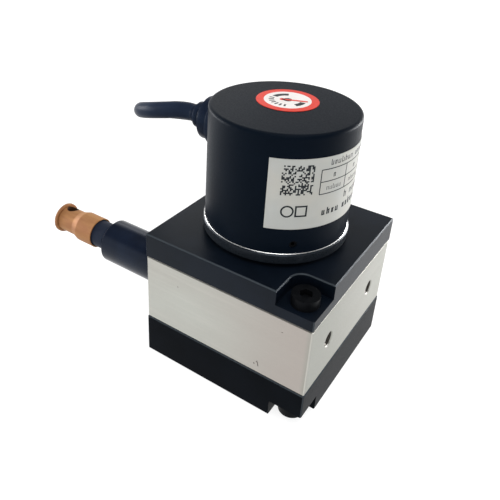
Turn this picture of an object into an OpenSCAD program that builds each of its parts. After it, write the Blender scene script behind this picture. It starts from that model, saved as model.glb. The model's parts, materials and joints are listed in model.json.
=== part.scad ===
// Draw wire encoder. A sprung drum in a square housing winds in a thin wire,
// and a rotary encoder on top turns with the drum as the wire is pulled out.
// Origin: centre of the base face. +Z up the encoder, the wire leaves along -X.

/* [Housing] */
// Width of the housing along the wire
body_x = 50; // [48:1:60]
// Width of the housing across the wire
body_y = 49; // [48:1:60]
// Height of the base plate, which holds the power spring
base_h = 12.3; // [12:0.1:16]
// Height of the aluminium housing round the drum
band_h = 20.5; // [20:0.5:28]
// Height of the top plate
top_h = 7.2; // [7:0.1:10]
// How far the aluminium housing stands back from the plates
band_inset = 0.15; // [0.05:0.05:0.4]
// Chamfer on the outer edges of the plates and the housing
edge_c = 0.3; // [0.1:0.1:0.6]
// Side of the square corner pockets in the top plate
top_pocket = 10.25; // [9.5:0.25:11]
// Depth of the corner pockets in the top plate
top_pocket_depth = 4; // [3.2:0.1:4.6]
// Side of the square corner pockets under the base plate
base_pocket = 9.2; // [8.8:0.1:10]
// Depth of the corner pockets under the base plate
base_pocket_depth = 4.9; // [4.4:0.1:5.4]
// Rounding of the pockets' inner corner
pocket_r = 3.5; // [2:0.5:4]
// Distance of the corner screws from the outer faces
screw_inset = 5; // [4.8:0.1:5.2]

/* [Side mounting holes] */
// Spacing of the two tapped holes in the side opposite the wire
side_hole_spacing = 26; // [20:1:28]
// Diameter of the tapped side holes
side_hole_d = 4; // [3:0.5:5]
// Depth of the tapped side holes
side_hole_depth = 8; // [6:0.5:8]

/* [Drum and wire] */
// Distance that the wire can be pulled out
measuring_range = 1000; // [500:50:1000]
// Diameter of the draw wire
wire_d = 0.8; // [0.4:0.1:0.8]
// Distance of the wire's centre line from the drum's axis
wire_offset = 13; // [12:0.5:14]
// Spacing of the turns on the drum
wire_pitch = 0.85; // [0.82:0.01:0.88]
// Thickness of the drum's two rims
rim_t = 1; // [0.8:0.1:1.2]
// How far the rims stand past the wound wire
rim_lip = 2.1; // [1.5:0.1:2.5]
// Gap between the drum's rims and the housing
drum_gap = 1; // [0.6:0.1:1.4]
// Radius of the drum's hub
hub_r = 8; // [7.5:0.5:9]

/* [Shafts and bearings] */
// Diameter of the drum shaft and of the encoder shaft
shaft_d = 6; // [5:0.5:6]
// Outer diameter of the bearings on the shafts
small_od = 13; // [13:0.5:15]
// Width of the bearings on the shafts
small_w = 3.5; // [3:0.5:4]
// Diameter of the drum's hollow upper journal
journal_d = 10; // [9.5:0.5:11]
// Outer diameter of the bearing on that journal
large_od = 15; // [15:0.5:16]
// Width of the bearing on that journal
large_w = 4; // [3.5:0.25:4.25]

/* [Power spring] */
// Diameter of the spring's chamber in the base plate
spring_chamber_d = 39.6; // [36:0.2:40]
// Thickness of the spring strip
strip_t = 0.4; // [0.2:0.1:0.6]
// Number of coils that the strip makes
spring_coils = 7; // [4:1:9]
// Thickness of the cover over the spring
cover_t = 0.8; // [0.5:0.1:1]

/* [Wire outlet] */
// Outer diameter of the outlet tube
outlet_d = 13.1; // [12:0.1:14]
// Length of the outlet tube past the housing
outlet_l = 24.6; // [20:0.1:40]
// Chamfer at the outlet's mouth
outlet_c = 2.1; // [1:0.1:2.6]
// Diameter of the threaded end that screws into the housing
outlet_thread_d = 10; // [9:0.5:12]
// Length of the threaded end
outlet_thread_l = 8; // [6:0.5:9]
// Bore of the outlet tube
outlet_bore_d = 6; // [5:0.5:7]
// Bore of the hard eyelet at the mouth
eyelet_bore_d = 1.2; // [1:0.1:1.6]
// Length of the eyelet
eyelet_l = 5; // [3:0.5:8]
// Length of the felt wiper
wiper_l = 6; // [4:0.5:9]

/* [Wire end clip] */
// Outer diameter of the clip's sleeve and of its end flange
clip_d = 9.5; // [9:0.1:10]
// Diameter of the clip's middle, round the cross hole
clip_waist_d = 7.9; // [6.5:0.1:8]
// Diameter of the cross hole, which takes a pin or a screw
cross_hole_d = 3.8; // [3:0.1:3.8]
// Turn of the cross hole from upright
cross_hole_turn = 15; // [0:5:90]
// Length of the clip's sleeve
sleeve_l = 6.4; // [5:0.1:9]
// Length of the cone between sleeve and middle
clip_cone_l = 2.5; // [1.5:0.5:3]
// Length of the clip's middle
clip_waist_l = 6; // [5.6:0.1:9]
// Thickness of the end flange
clip_flange_t = 1.1; // [0.8:0.1:2]
// Diameter of the rubber bumper that meets the outlet
bumper_d = 8.4; // [7.6:0.1:8.4]
// Length of bumper that shows between outlet and clip
bumper_show = 4.5; // [2:0.1:6]

/* [Encoder] */
// Diameter of the encoder's flange
flange_d = 39; // [39:0.1:42]
// Height of the flange above its seat
flange_h = 2.65; // [2.4:0.05:4]
// Bright chamfer on the flange's upper edge
flange_c = 0.45; // [0.2:0.05:0.6]
// Diameter of the raised seat under the flange
seat_d = 35.2; // [34.6:0.1:37]
// Height of the raised seat
seat_h = 1.3; // [1:0.1:2]
// Diameter of the pilot that centres the encoder on the top plate
pilot_d = 20; // [18:0.5:22]
// Height of the pilot
pilot_h = 2; // [1.5:0.1:2.2]
// Diameter of the cap
cap_d = 38.1; // [37.8:0.1:38.6]
// Height of the cap
cap_h = 30.95; // [30:0.05:40]
// Wall of the cap
cap_wall = 1.5; // [1:0.1:1.8]
// Thickness of the cap's top
cap_top_t = 1.8; // [1.5:0.1:3]
// Rounding of the cap's upper edge
cap_fillet = 1; // [0.5:0.1:2]
// Height of the small cap screws above the flange
cap_screw_z = 2.65; // [2.4:0.05:3]
// Diameter of the code disc
disc_d = 23.2; // [20:0.1:23.2]
// Thickness of the code disc
disc_t = 0.8; // [0.4:0.1:1]
// Thickness of the circuit board
board_t = 1.6; // [1:0.1:2]

/* [Cable] */
// Diameter of the cable
cable_d = 4.8; // [4:0.1:5]
// Diameter of the gland's collar
collar_d = 11.8; // [10:0.1:12]
// How far the collar stands out of the cap
collar_l = 5.15; // [4:0.05:7]
// Diameter of the ring on the gland's nose
nose_d = 8; // [6.5:0.1:8]
// Length of the gland's nose
nose_l = 3.55; // [3:0.05:4]
// Depth of the gland's centre below the top of the cap
gland_drop = 9.1; // [8:0.1:12]

/* [Label and sticker] */
// Height of the label on the cap
label_h = 18.3; // [10:0.1:20]
// Height of the label's lower edge above the flange
label_z = 7.05; // [5:0.05:9]
// Angle at which the label starts
label_from = -70.5; // [-90:0.5:-40]
// Angle that the label covers
label_sweep = 134; // [60:1:150]
// Diameter of the round sticker on the cap's top
sticker_d = 15.9; // [10:0.1:20]
// Thickness of label and sticker
film_t = 0.15; // [0.1:0.05:0.3]

/* [Hidden] */
$fn = 72;

// Small sizes that pieces share
eps = 0.01;             // overshoot of a cut past a face
slip = 0.05;            // radial gap of a loose fit
run_gap = 0.3;          // gap beside something that turns
race_gap = 0.05;        // gap between a ball and its race
m4_r = 2;               // corner screws
m4_clear_r = 2.15;
m4_head_r = 3.5;
m4_low_head_h = 2.8;
m4_head_h = 4;
m4_key = 3;
m4_engage = 8;          // length of screw in the housing
m3_r = 1.5;             // screws that hold the encoder
m3_head_r = 2.9;
m25_r = 1.25;           // set screws and board screws
m2_r = 1;               // cap screws
cap_screw_sink = 0.35;
cap_screw_l = 3.2;
core_r = 0.35;          // cores of the cable
core_step = 1;
core_count = 4;

// Heights of the housing's faces
z_band = base_h;
z_top = z_band + band_h;
z_deck = z_top + top_h;
z_seat = z_deck + seat_h;
z_cap = z_seat + flange_h;
z_cap_top = z_cap + cap_h;
wire_z = z_band + band_h / 2;

// Corner screws stand on one diagonal
screw_x = body_x / 2 - screw_inset;
screw_y = body_y / 2 - screw_inset;

// Drum
drum_r = wire_offset - wire_d / 2;
turns = ceil(measuring_range / (2 * PI * wire_offset));
wound_w = turns * wire_pitch;
rim_r = wire_offset + wire_d / 2 + rim_lip;
drum_bore_r = rim_r + drum_gap;
// Wider than the side holes, one of which lies on the same line
wire_way_r = 3;
drum_z0 = wire_z - wound_w / 2 - rim_t;
drum_z1 = wire_z + wound_w / 2 + rim_t;
shaft_r = shaft_d / 2;
journal_r = journal_d / 2;
shoulder_h = 0.4;       // shoulder that meets the upper bearing's inner ring
large_ring_t = 0.28 * (large_od - journal_d) / 2;
small_ring_t = 0.27 * (small_od - shaft_d) / 2;
shaft_join_z = wire_z;  // the drum shaft ends here, and the encoder shaft starts above

// Bearings, from the base upwards: [inner diameter, outer diameter, width, height, balls]
seat_floor = 2.3;       // plate under the lowest bearing
large_balls = 12;
small_balls = 7;
enc_bearing_z0 = z_deck + 2.4;
enc_bearing_gap = 3.7;
enc_bearing_z1 = enc_bearing_z0 + small_w + enc_bearing_gap;
BEARINGS = [
    [shaft_d, small_od, small_w, seat_floor, small_balls],
    [journal_d, large_od, large_w, z_top, large_balls],
    [shaft_d, small_od, small_w, enc_bearing_z0, small_balls],
    [shaft_d, small_od, small_w, enc_bearing_z1, small_balls]
];

// Power spring chamber
chamber_r = spring_chamber_d / 2;
spring_floor = seat_floor + small_w;
cover_r = chamber_r + 1.5;
spring_gap = 0.5;       // gap under and over the strip
spring_z = spring_floor + spring_gap;
strip_w = base_h - cover_t - spring_floor - 2 * spring_gap;
arbor_r = 5;
arbor_h = base_h - cover_t - spring_floor - 0.2 - run_gap;
arbor_slot_w = 1;
hook_l = 1;

// Wire outlet and what is on the wire's end
face_x = body_x / 2 - band_inset;
mouth_x = face_x + outlet_l;
stop_gap = 0.1;
bumper_x0 = mouth_x + stop_gap;
clip_x0 = bumper_x0 + bumper_show;
mouth_recess = 1.2;     // dark ring round the bumper in the sleeve's mouth
mouth_gap = 0.3;
bumper_grip = 4;
clip_cone_x = clip_x0 + sleeve_l;
clip_waist_x = clip_cone_x + clip_cone_l;
clip_flange_x = clip_waist_x + clip_waist_l;
clip_end_x = clip_flange_x + clip_flange_t;
cross_hole_x = clip_flange_x - cross_hole_d / 2 - 0.1;
ferrule_r = 1.3;
ferrule_l = 4;
ferrule_x0 = clip_x0 + bumper_grip + 0.2;
wire_x0 = 4.8;          // the straight wire starts clear of the wound turns

// Encoder
flange_r = flange_d / 2;
cap_r = cap_d / 2;
cap_in_r = cap_r - cap_wall;
spigot_r = cap_in_r - slip;
spigot_t = 2;
spigot_h = 5.5;
tower_r = small_od / 2 + 2.5;
tower_z1 = enc_bearing_z1 + small_w + 0.9;
screw_circle_r = 15;
ring_t = 0.6;           // retaining ring
ring_z = enc_bearing_z1 + small_w + 0.1;
hub_z = ring_z + ring_t + 0.2;
disc_hub_h = 2.4;
disc_z = hub_z + disc_hub_h;
disc_hub_r = 5;
shaft_end_z = disc_z + disc_t + 0.8;
board_z = shaft_end_z + 0.6;
board_r = cap_in_r - 1;
board_screw_r = 1;
board_screw_head_r = 2;
board_screw_head_h = 1.3;
board_screw_grip = 3;
connector_l = 4;
connector_w = 9;
connector_h = 3;
sensor_l = 2.8;
sensor_h = 1;
// Chips on the board: [x, y, length, width, height] in shares of the board's radius
CHIPS = [[-0.06, -0.52, 0.36, 0.24, 0.09], [0, 0.2, 0.3, 0.3, 0.06], [0.42, -0.18, 0.18, 0.36, 0.06]];
lamp_l = 3;             // post that carries the lamps
lamp_w = 6;
lamp_r = 0.7;
pillar_r = 1.6;
pillar_ring_r = spigot_r - spigot_t - pillar_r - slip;
pillar_turn = 30;
seal_r = 0.5;           // section of the cap's seal
seal_z = z_cap + 4.4;

// Cable gland
gland_z = z_cap_top - gland_drop;
cable_r = cable_d / 2;
collar_x = cap_r + collar_l;
exit_x = collar_x + nose_l;
gland_neck_r = 4;
nose_neck_l = 0.8;      // narrow neck between collar and ring
nose_ring_l = 1.6;
nose_neck_r = cable_r + 0.9;
nose_end_r = cable_r + 0.6;
nut_t = 2.5;
nut_r = 5.6;
nut_x = sqrt(cap_in_r * cap_in_r - pow(nut_r * cos(30), 2)) - slip;
gland_end_x = nut_x - nut_t - 0.8;
inner_end_x = 12;
sticker_at = [-1.3, 3.2];

// Route of the free cable, from the gland's nose to the coil behind the housing
CABLE = [
    [-27.75, 0, 65.8], [-29.5, 0, 65.8], [-32.9, -0.2, 65.4], [-38.2, -0.4, 64.1],
    [-44.4, 0.6, 62.2], [-50.5, 4.1, 59.7], [-55, 9.8, 56.9], [-56.7, 16.8, 54.3],
    [-55.6, 23.9, 52.1], [-51.6, 30.3, 50.3], [-45.4, 34.9, 49], [-37.8, 37.1, 48.1],
    [-30, 36.9, 47], [-23.5, 37.5, 44.4], [-17.7, 38.9, 40.6], [-13, 41.3, 35.9],
    [-9.7, 44.6, 30.7], [-7.7, 48.9, 25.5], [-7.1, 53.9, 20.7], [-7.7, 59.4, 16.8],
    [-9.1, 65.5, 14], [-10.6, 72, 12.6]
];
CABLE_SIDES = 10;

// Coil of the rest of the cable behind the housing, two turns wide and three high.
// It is tied, and the tie runs under it.
coil_at = [-37, 72];
coil_in_r = 19.2;
coil_wide = 2;
coil_high = 3;
coil_out_r = coil_in_r + coil_wide * cable_d;
coil_h = coil_high * cable_d;
tie_t = 0.6;
tie_w = 4;
tie_in_r = coil_in_r * cos(asin(tie_w / 2 / coil_in_r)) - 0.02;    // clears the round wall
// The cable's end turns into the middle of the coil, where its leads come out
tail_turn = 60;
tail_off = 13.5;
tail_l = 12;
lead_r = 0.6;
lead_l = 9;
lead_step = 1.25;
lead_count = 4;

// ---------- shapes that repeat ----------

// A square with its corners cut off at 45 degrees
module cut_square(w, h, c) {
    polygon([
        [-w / 2 + c, -h / 2], [w / 2 - c, -h / 2], [w / 2, -h / 2 + c], [w / 2, h / 2 - c],
        [w / 2 - c, h / 2], [-w / 2 + c, h / 2], [-w / 2, h / 2 - c], [-w / 2, -h / 2 + c]
    ]);
}

// A block with a chamfer on all its edges, standing on z = 0
module chamfer_block(x, y, h, c) {
    intersection() {
        linear_extrude(h) cut_square(x, y, c);
        translate([0, y / 2, h / 2]) rotate([90, 0, 0]) linear_extrude(y) cut_square(x, h, c);
        translate([-x / 2, 0, h / 2]) rotate([90, 0, 90]) linear_extrude(x) cut_square(y, h, c);
    }
}

// Repeats its children on the two corners that hold screws
module at_screw_corners() {
    for (turn = [0, 180]) rotate([0, 0, turn]) children();
}

// A corner pocket: inner corner at [x, y], open towards +X and -Y, grown by g
module pocket_outline(x, y, g) {
    far = body_x;
    translate([x + pocket_r, y - pocket_r]) circle(pocket_r + g);
    translate([x + pocket_r, y - far]) square([far, far + g]);
    translate([x - g, y - pocket_r - far]) square([far, far]);
}

// The 45 degree edge of a corner pocket, widening upwards to z = 0
module pocket_edge(x, y, c) {
    far = body_x;
    translate([x + pocket_r, y - pocket_r, -c]) cylinder(r1 = pocket_r, r2 = pocket_r + c, h = c);
    translate([x + pocket_r, y - pocket_r, 0]) rotate([90, 0, 90]) linear_extrude(far)
        polygon([[0, -c], [pocket_r, -c], [pocket_r + c, 0], [0, 0]]);
    translate([x + pocket_r, y - pocket_r, 0]) rotate([90, 0, 0]) linear_extrude(far)
        polygon([[0, -c], [-pocket_r, -c], [-pocket_r - c, 0], [0, 0]]);
}

// One ring of a ball bearing, from radius r0 to r1, with its race for the balls
module bearing_ring(r0, r1, w, ball_ring_r, ball_r) {
    rotate_extrude() difference() {
        translate([r0, 0]) square([r1 - r0, w]);
        translate([ball_ring_r, w / 2]) circle(ball_r + race_gap);
    }
}

function ring_share(id) = id == journal_d ? large_ring_t : small_ring_t;
function ball_ring(id, od) = (id + od) / 4;
function ball_size(id, od) = 0.31 * (od - id) / 2;

// A part turned about the wire's axis, its profile in [distance along -X, radius]
module on_wire_axis() {
    translate([0, -wire_offset, wire_z]) rotate([0, -90, 0]) children();
}

module tube(r_out, r_in, h) {
    difference() {
        cylinder(r = r_out, h = h);
        translate([0, 0, -eps]) cylinder(r = r_in, h = h + 2 * eps);
    }
}

// Socket head screw pointing down from z = 0, where its head stands
module cap_head_screw(r, length, head_r, head_h, key) {
    difference() {
        union() {
            cylinder(r = head_r, h = head_h);
            translate([0, 0, -length]) cylinder(r = r, h = length);
        }
        translate([0, 0, head_h * 0.45]) cylinder(d = key / cos(30), h = head_h, $fn = 6);
    }
}

// ---------- housing ----------

module base_plate() {
    corner_x = body_x / 2 - base_pocket;
    corner_y = -body_y / 2 + base_pocket - 0.4;
    color("#2b2f34") difference() {
        chamfer_block(body_x, body_y, base_h, edge_c);
        translate([0, 0, spring_floor]) cylinder(r = chamber_r, h = base_h);
        translate([0, 0, base_h - cover_t]) cylinder(r = cover_r + slip, h = base_h);
        translate([0, 0, seat_floor]) cylinder(d = small_od, h = base_h);
        translate([0, 0, seat_floor - run_gap])
            cylinder(r = small_od / 2 - small_ring_t, h = base_h);
        // notch that holds the outer hook of the power spring
        translate([chamber_r - 1, -strip_t / 2 - slip, spring_z - slip])
            cube([1 + hook_l + slip, strip_t + 2 * slip, base_h]);
        at_screw_corners() {
            translate([0, 0, -eps]) linear_extrude(base_pocket_depth + eps)
                pocket_outline(corner_x, corner_y, 0);
            translate([screw_x, -screw_y, 0]) cylinder(r = m4_clear_r, h = base_h + eps);
        }
    }
}

module drum_housing() {
    color("#c4c4be") difference() {
        translate([0, 0, z_band])
            chamfer_block(body_x - 2 * band_inset, body_y - 2 * band_inset, band_h, edge_c);
        translate([0, 0, z_band - eps]) cylinder(r = drum_bore_r, h = band_h + 2 * eps);
        at_screw_corners()
            translate([screw_x, -screw_y, z_band - eps]) cylinder(r = m4_r, h = band_h + 2 * eps);
        // seat of the outlet, and the wire's way in
        on_wire_axis() {
            translate([0, 0, face_x - outlet_thread_l])
                cylinder(d = outlet_thread_d, h = outlet_thread_l + eps);
            cylinder(r = wire_way_r, h = face_x);
        }
        for (side = [-1, 1]) translate([face_x, side * side_hole_spacing / 2, wire_z])
            rotate([0, -90, 0]) {
                translate([0, 0, -eps]) cylinder(d = side_hole_d, h = side_hole_depth + eps);
                translate([0, 0, -eps])
                    cylinder(d1 = side_hole_d + 2 * edge_c, d2 = side_hole_d, h = edge_c);
            }
    }
}

module top_plate() {
    corner_x = body_x / 2 - top_pocket;
    corner_y = -body_y / 2 + top_pocket;
    color("#2b2f34") difference() {
        translate([0, 0, z_top]) chamfer_block(body_x, body_y, top_h, edge_c);
        translate([0, 0, z_top - eps]) cylinder(d = large_od, h = large_w + eps);
        translate([0, 0, z_top - eps])
            cylinder(r = large_od / 2 - large_ring_t, h = large_w + run_gap + eps);
        cylinder(r = journal_r + run_gap, h = z_deck);
        translate([0, 0, z_deck - pilot_h]) cylinder(r = pilot_d / 2 + slip, h = top_h);
        at_screw_corners() {
            translate([0, 0, z_deck - top_pocket_depth]) linear_extrude(top_h)
                pocket_outline(corner_x, corner_y, 0);
            translate([0, 0, z_deck + eps]) pocket_edge(corner_x, corner_y, edge_c + eps);
            translate([screw_x, -screw_y, z_top - eps]) cylinder(r = m4_clear_r, h = top_h);
        }
        encoder_screw_places() {
            translate([0, 0, -eps]) cylinder(r = m3_r + slip, h = top_h + 1);
            translate([0, 0, -eps])
                cylinder(r1 = m3_head_r + slip, r2 = m3_r, h = m3_head_r - m3_r + slip);
        }
    }
}

module top_screws() {
    color("#1e2124") at_screw_corners()
        translate([screw_x, -screw_y, z_deck - top_pocket_depth])
            cap_head_screw(m4_r, top_h - top_pocket_depth + m4_engage,
                m4_head_r, m4_low_head_h, m4_key);
}

module base_screws() {
    color("#1e2124") at_screw_corners()
        translate([screw_x, -screw_y, base_pocket_depth]) mirror([0, 0, 1])
            cap_head_screw(m4_r, base_h - base_pocket_depth + m4_engage,
                m4_head_r, m4_head_h, m4_key);
}

// ---------- power spring ----------

module spring_cover() {
    color("#8d9196") translate([0, 0, base_h - cover_t]) tube(cover_r, shaft_r + 1, cover_t);
}

// The strip winds out from the arbor to the chamber's wall, with a hook at each end
module power_spring() {
    r_in = arbor_r + slip + strip_t;
    r_out = chamber_r - 2 * slip - strip_t;
    steps = 24 * spring_coils;
    function at(i, side) = let (
            turn = 360 * spring_coils * i / steps,
            r = r_in + (r_out - r_in) * i / steps + side * strip_t / 2
        ) [r * cos(turn), r * sin(turn)];
    color("#5d6570") translate([0, 0, spring_z]) linear_extrude(strip_w) union() {
        polygon(concat(
            [for (i = [0 : steps]) at(i, 1)],
            [for (i = [steps : -1 : 0]) at(i, -1)]
        ));
        translate([r_out - strip_t, -strip_t / 2]) square([hook_l + 2 * slip + 2 * strip_t, strip_t]);
        translate([arbor_r - hook_l, -strip_t / 2]) square([hook_l + slip + strip_t, strip_t]);
    }
}

module spring_arbor() {
    color("#9aa0a6") difference() {
        union() {
            translate([0, 0, spring_floor]) cylinder(r = shaft_r + small_ring_t, h = 1);
            translate([0, 0, spring_floor + 0.2]) cylinder(r = arbor_r, h = arbor_h);
        }
        cylinder(r = shaft_r, h = base_h);
        translate([arbor_r - hook_l - slip, -arbor_slot_w / 2, 0])
            cube([2 * hook_l, arbor_slot_w, base_h]);
    }
}

// ---------- drum ----------

module drum() {
    hub_top = z_top - shoulder_h;
    hub_bottom = z_band + run_gap;
    journal_top = z_top + large_w + run_gap;
    color("#b9bdc0") difference() {
        rotate_extrude() polygon([
            [shaft_r, hub_bottom], [hub_r, hub_bottom], [hub_r, drum_z0], [rim_r, drum_z0],
            [rim_r, drum_z0 + rim_t], [drum_r, drum_z0 + rim_t], [drum_r, drum_z1 - rim_t],
            [rim_r, drum_z1 - rim_t], [rim_r, drum_z1], [hub_r, drum_z1], [hub_r, hub_top],
            [journal_r + large_ring_t, hub_top], [journal_r + large_ring_t, z_top],
            [journal_r, z_top], [journal_r, journal_top], [shaft_r, journal_top]
        ]);
        drum_set_screw_places() translate([0, 0, -1]) cylinder(r = m25_r, h = hub_r);
        // lightening holes through the web, between hub and wound wire
        for (turn = [0 : 60 : 300]) rotate([0, 0, turn + 30])
            translate([(hub_r + drum_r) / 2, 0, 0]) cylinder(r = 1.4, h = z_top);
    }
}

module drum_set_screw_places() {
    for (turn = [0, 90]) rotate([0, 0, turn])
        translate([shaft_r, 0, (drum_z1 + z_top - shoulder_h) / 2]) rotate([0, 90, 0]) children();
}

module drum_set_screws() {
    color("#3a3d40") drum_set_screw_places() difference() {
        cylinder(r = m25_r, h = 4);
        translate([0, 0, 2.6]) cylinder(d = 1.3 / cos(30), h = 2, $fn = 6);
    }
}

module wound_wire() {
    color("#a9adb0") rotate_extrude() difference() {
        union() {
            translate([drum_r, wire_z - wound_w / 2]) square([wire_d * 0.3, wound_w]);
            for (i = [0 : turns - 1])
                translate([wire_offset, wire_z + (i - (turns - 1) / 2) * wire_pitch])
                    circle(d = wire_d, $fn = 24);
        }
        translate([drum_r - 2 * wire_d, 0]) square([2 * wire_d, z_top]);
    }
}

module drum_shaft() {
    color("#b4b8bb") translate([0, 0, seat_floor + run_gap])
        cylinder(r = shaft_r, h = shaft_join_z - seat_floor - run_gap);
}

// ---------- bearings ----------

module bearing_outer_rings() {
    color("#c9cccd") for (b = BEARINGS) translate([0, 0, b[3]])
        bearing_ring(b[1] / 2 - ring_share(b[0]), b[1] / 2, b[2],
            ball_ring(b[0], b[1]), ball_size(b[0], b[1]));
}

module bearing_inner_rings() {
    color("#c9cccd") for (b = BEARINGS) translate([0, 0, b[3]])
        bearing_ring(b[0] / 2, b[0] / 2 + ring_share(b[0]), b[2],
            ball_ring(b[0], b[1]), ball_size(b[0], b[1]));
}

module bearing_balls() {
    color("#dddfe0") for (b = BEARINGS, i = [0 : b[4] - 1])
        rotate([0, 0, 360 * i / b[4]])
            translate([ball_ring(b[0], b[1]), 0, b[3] + b[2] / 2])
                sphere(r = ball_size(b[0], b[1]));
}

// ---------- wire outlet and wire end ----------

module wire_outlet() {
    color("#2b2f34") on_wire_axis() difference() {
        union() {
            translate([0, 0, face_x]) cylinder(d = outlet_d, h = outlet_l - outlet_c);
            translate([0, 0, mouth_x - outlet_c])
                cylinder(d1 = outlet_d, d2 = outlet_d - 2 * outlet_c, h = outlet_c);
            translate([0, 0, face_x - outlet_thread_l])
                cylinder(d = outlet_thread_d, h = outlet_thread_l + eps);
        }
        translate([0, 0, face_x - outlet_thread_l - eps])
            cylinder(d = outlet_bore_d, h = outlet_l + outlet_thread_l + 2 * eps);
    }
}

module outlet_eyelet() {
    lead_in = 0.5;
    color("#e8e2d2") on_wire_axis() translate([0, 0, mouth_x - eyelet_l]) difference() {
        cylinder(d = outlet_bore_d, h = eyelet_l);
        translate([0, 0, -eps]) cylinder(d = eyelet_bore_d, h = eyelet_l + 2 * eps);
        translate([0, 0, eyelet_l - lead_in])
            cylinder(d1 = eyelet_bore_d, d2 = eyelet_bore_d + 2 * lead_in + 2 * eps,
                h = lead_in + eps);
    }
}

module outlet_wiper() {
    color("#cfc9b8") on_wire_axis() translate([0, 0, mouth_x - eyelet_l - wiper_l])
        tube(outlet_bore_d / 2, wire_d / 2 + slip, wiper_l);
}

module draw_wire() {
    color("#a9adb0") on_wire_axis() translate([0, 0, wire_x0])
        cylinder(d = wire_d, h = ferrule_x0 + ferrule_l - wire_x0);
}

module wire_bumper() {
    color("#23262b") on_wire_axis() translate([0, 0, bumper_x0]) difference() {
        union() {
            cylinder(d1 = bumper_d - 0.6, d2 = bumper_d, h = 0.3);
            translate([0, 0, 0.3]) cylinder(d = bumper_d, h = bumper_show + bumper_grip - 0.3);
        }
        translate([0, 0, -eps])
            cylinder(d = wire_d + 2 * slip, h = bumper_show + bumper_grip + 2 * eps);
    }
}

module wire_ferrule() {
    color("#b8bcbe") on_wire_axis() translate([0, 0, ferrule_x0])
        tube(ferrule_r, wire_d / 2, ferrule_l);
}

module wire_clip() {
    rim = 0.3;
    color("#c08a50") on_wire_axis() difference() {
        rotate_extrude() polygon([
            [0, clip_x0], [clip_d / 2 - rim / 2, clip_x0], [clip_d / 2, clip_x0 + rim / 2],
            [clip_d / 2, clip_cone_x], [clip_waist_d / 2, clip_waist_x],
            [clip_waist_d / 2, clip_flange_x], [clip_d / 2 - rim, clip_flange_x],
            [clip_d / 2, clip_flange_x + rim], [clip_d / 2, clip_end_x - rim],
            [clip_d / 2 - rim, clip_end_x], [0, clip_end_x]
        ]);
        translate([0, 0, clip_x0 - eps]) cylinder(d = bumper_d + 2 * mouth_gap, h = mouth_recess + eps);
        translate([0, 0, clip_x0]) cylinder(d = bumper_d, h = bumper_grip);
        translate([0, 0, clip_x0]) cylinder(r = ferrule_r, h = bumper_grip + 0.2 + ferrule_l);
        // cross hole, leaning towards +Y
        translate([0, 0, cross_hole_x]) rotate([0, 0, cross_hole_turn]) rotate([0, 90, 0])
            translate([0, 0, -clip_d]) cylinder(d = cross_hole_d, h = 2 * clip_d);
    }
}

// ---------- encoder ----------

module encoder_screw_places() {
    for (turn = [90, 210, 330]) rotate([0, 0, turn]) translate([screw_circle_r, 0, z_top])
        children();
}

module cap_screw_places() {
    for (turn = [-48, 72, 192]) rotate([0, 0, turn])
        translate([cap_r - cap_screw_sink, 0, z_cap + cap_screw_z]) rotate([0, -90, 0])
            children();
}

module pillar_places() {
    for (turn = [0, 120, 240]) rotate([0, 0, turn + pillar_turn])
        translate([pillar_ring_r, 0, 0]) children();
}

module encoder_flange() {
    bore_r = small_od / 2;
    color("#33373c") difference() {
        union() {
            rotate_extrude() polygon([
                [0, z_deck - pilot_h], [pilot_d / 2, z_deck - pilot_h], [pilot_d / 2, z_deck],
                [seat_d / 2, z_deck], [seat_d / 2, z_seat], [flange_r, z_seat],
                [flange_r, z_cap - flange_c], [flange_r - flange_c, z_cap],
                [spigot_r, z_cap], [spigot_r, z_cap + spigot_h],
                [spigot_r - spigot_t, z_cap + spigot_h], [spigot_r - spigot_t, z_cap],
                [tower_r, z_cap], [tower_r, tower_z1], [0, tower_z1]
            ]);
        }
        translate([0, 0, enc_bearing_z0]) cylinder(r = bore_r, h = tower_z1);
        translate([0, 0, enc_bearing_z0 - run_gap])
            cylinder(r = bore_r - small_ring_t, h = tower_z1);
        cylinder(r = shaft_r + run_gap, h = tower_z1);
        encoder_screw_places() cylinder(r = m3_r, h = z_cap - z_top - 0.5);
        cap_screw_places() cylinder(r = m2_r, h = cap_screw_l + 1);
        // groove for the cap's seal
        rotate_extrude() translate([cap_in_r - 2 * seal_r, seal_z - seal_r - slip])
            square([2 * seal_r, 2 * seal_r + 2 * slip]);
    }
}

module encoder_screws() {
    length = z_cap - z_top - 1;
    color("#8d9196") encoder_screw_places() difference() {
        union() {
            cylinder(r1 = m3_head_r, r2 = m3_r, h = m3_head_r - m3_r);
            cylinder(r = m3_r, h = length);
        }
        translate([0, 0, -eps]) cylinder(d = 2 / cos(30), h = 1.1, $fn = 6);
    }
}

module bearing_spacer() {
    color("#9aa0a6") translate([0, 0, enc_bearing_z0 + small_w])
        tube(small_od / 2, small_od / 2 - small_ring_t, enc_bearing_gap);
}

module encoder_shaft() {
    flat = 0.6;
    color("#b4b8bb") difference() {
        translate([0, 0, shaft_join_z + 0.5])
            cylinder(r = shaft_r, h = shaft_end_z - shaft_join_z - 0.5);
        // groove of the retaining ring
        translate([0, 0, ring_z]) tube(shaft_r + 1, shaft_r - flat, ring_t);
    }
}

module retaining_ring() {
    color("#4a4e52") translate([0, 0, ring_z]) difference() {
        tube(shaft_r + 1.1, shaft_r - 0.6, ring_t);
        translate([0, -1, -eps]) cube([shaft_r + 2, 2, ring_t + 2 * eps]);
    }
}

module disc_hub() {
    color("#c5a558") translate([0, 0, hub_z]) difference() {
        cylinder(r = disc_hub_r, h = disc_hub_h);
        translate([0, 0, -eps]) cylinder(r = shaft_r, h = disc_hub_h + 2 * eps);
        translate([shaft_r - eps, 0, disc_hub_h / 2]) rotate([0, 90, 0])
            cylinder(r = 0.8, h = disc_hub_r);
    }
}

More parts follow.
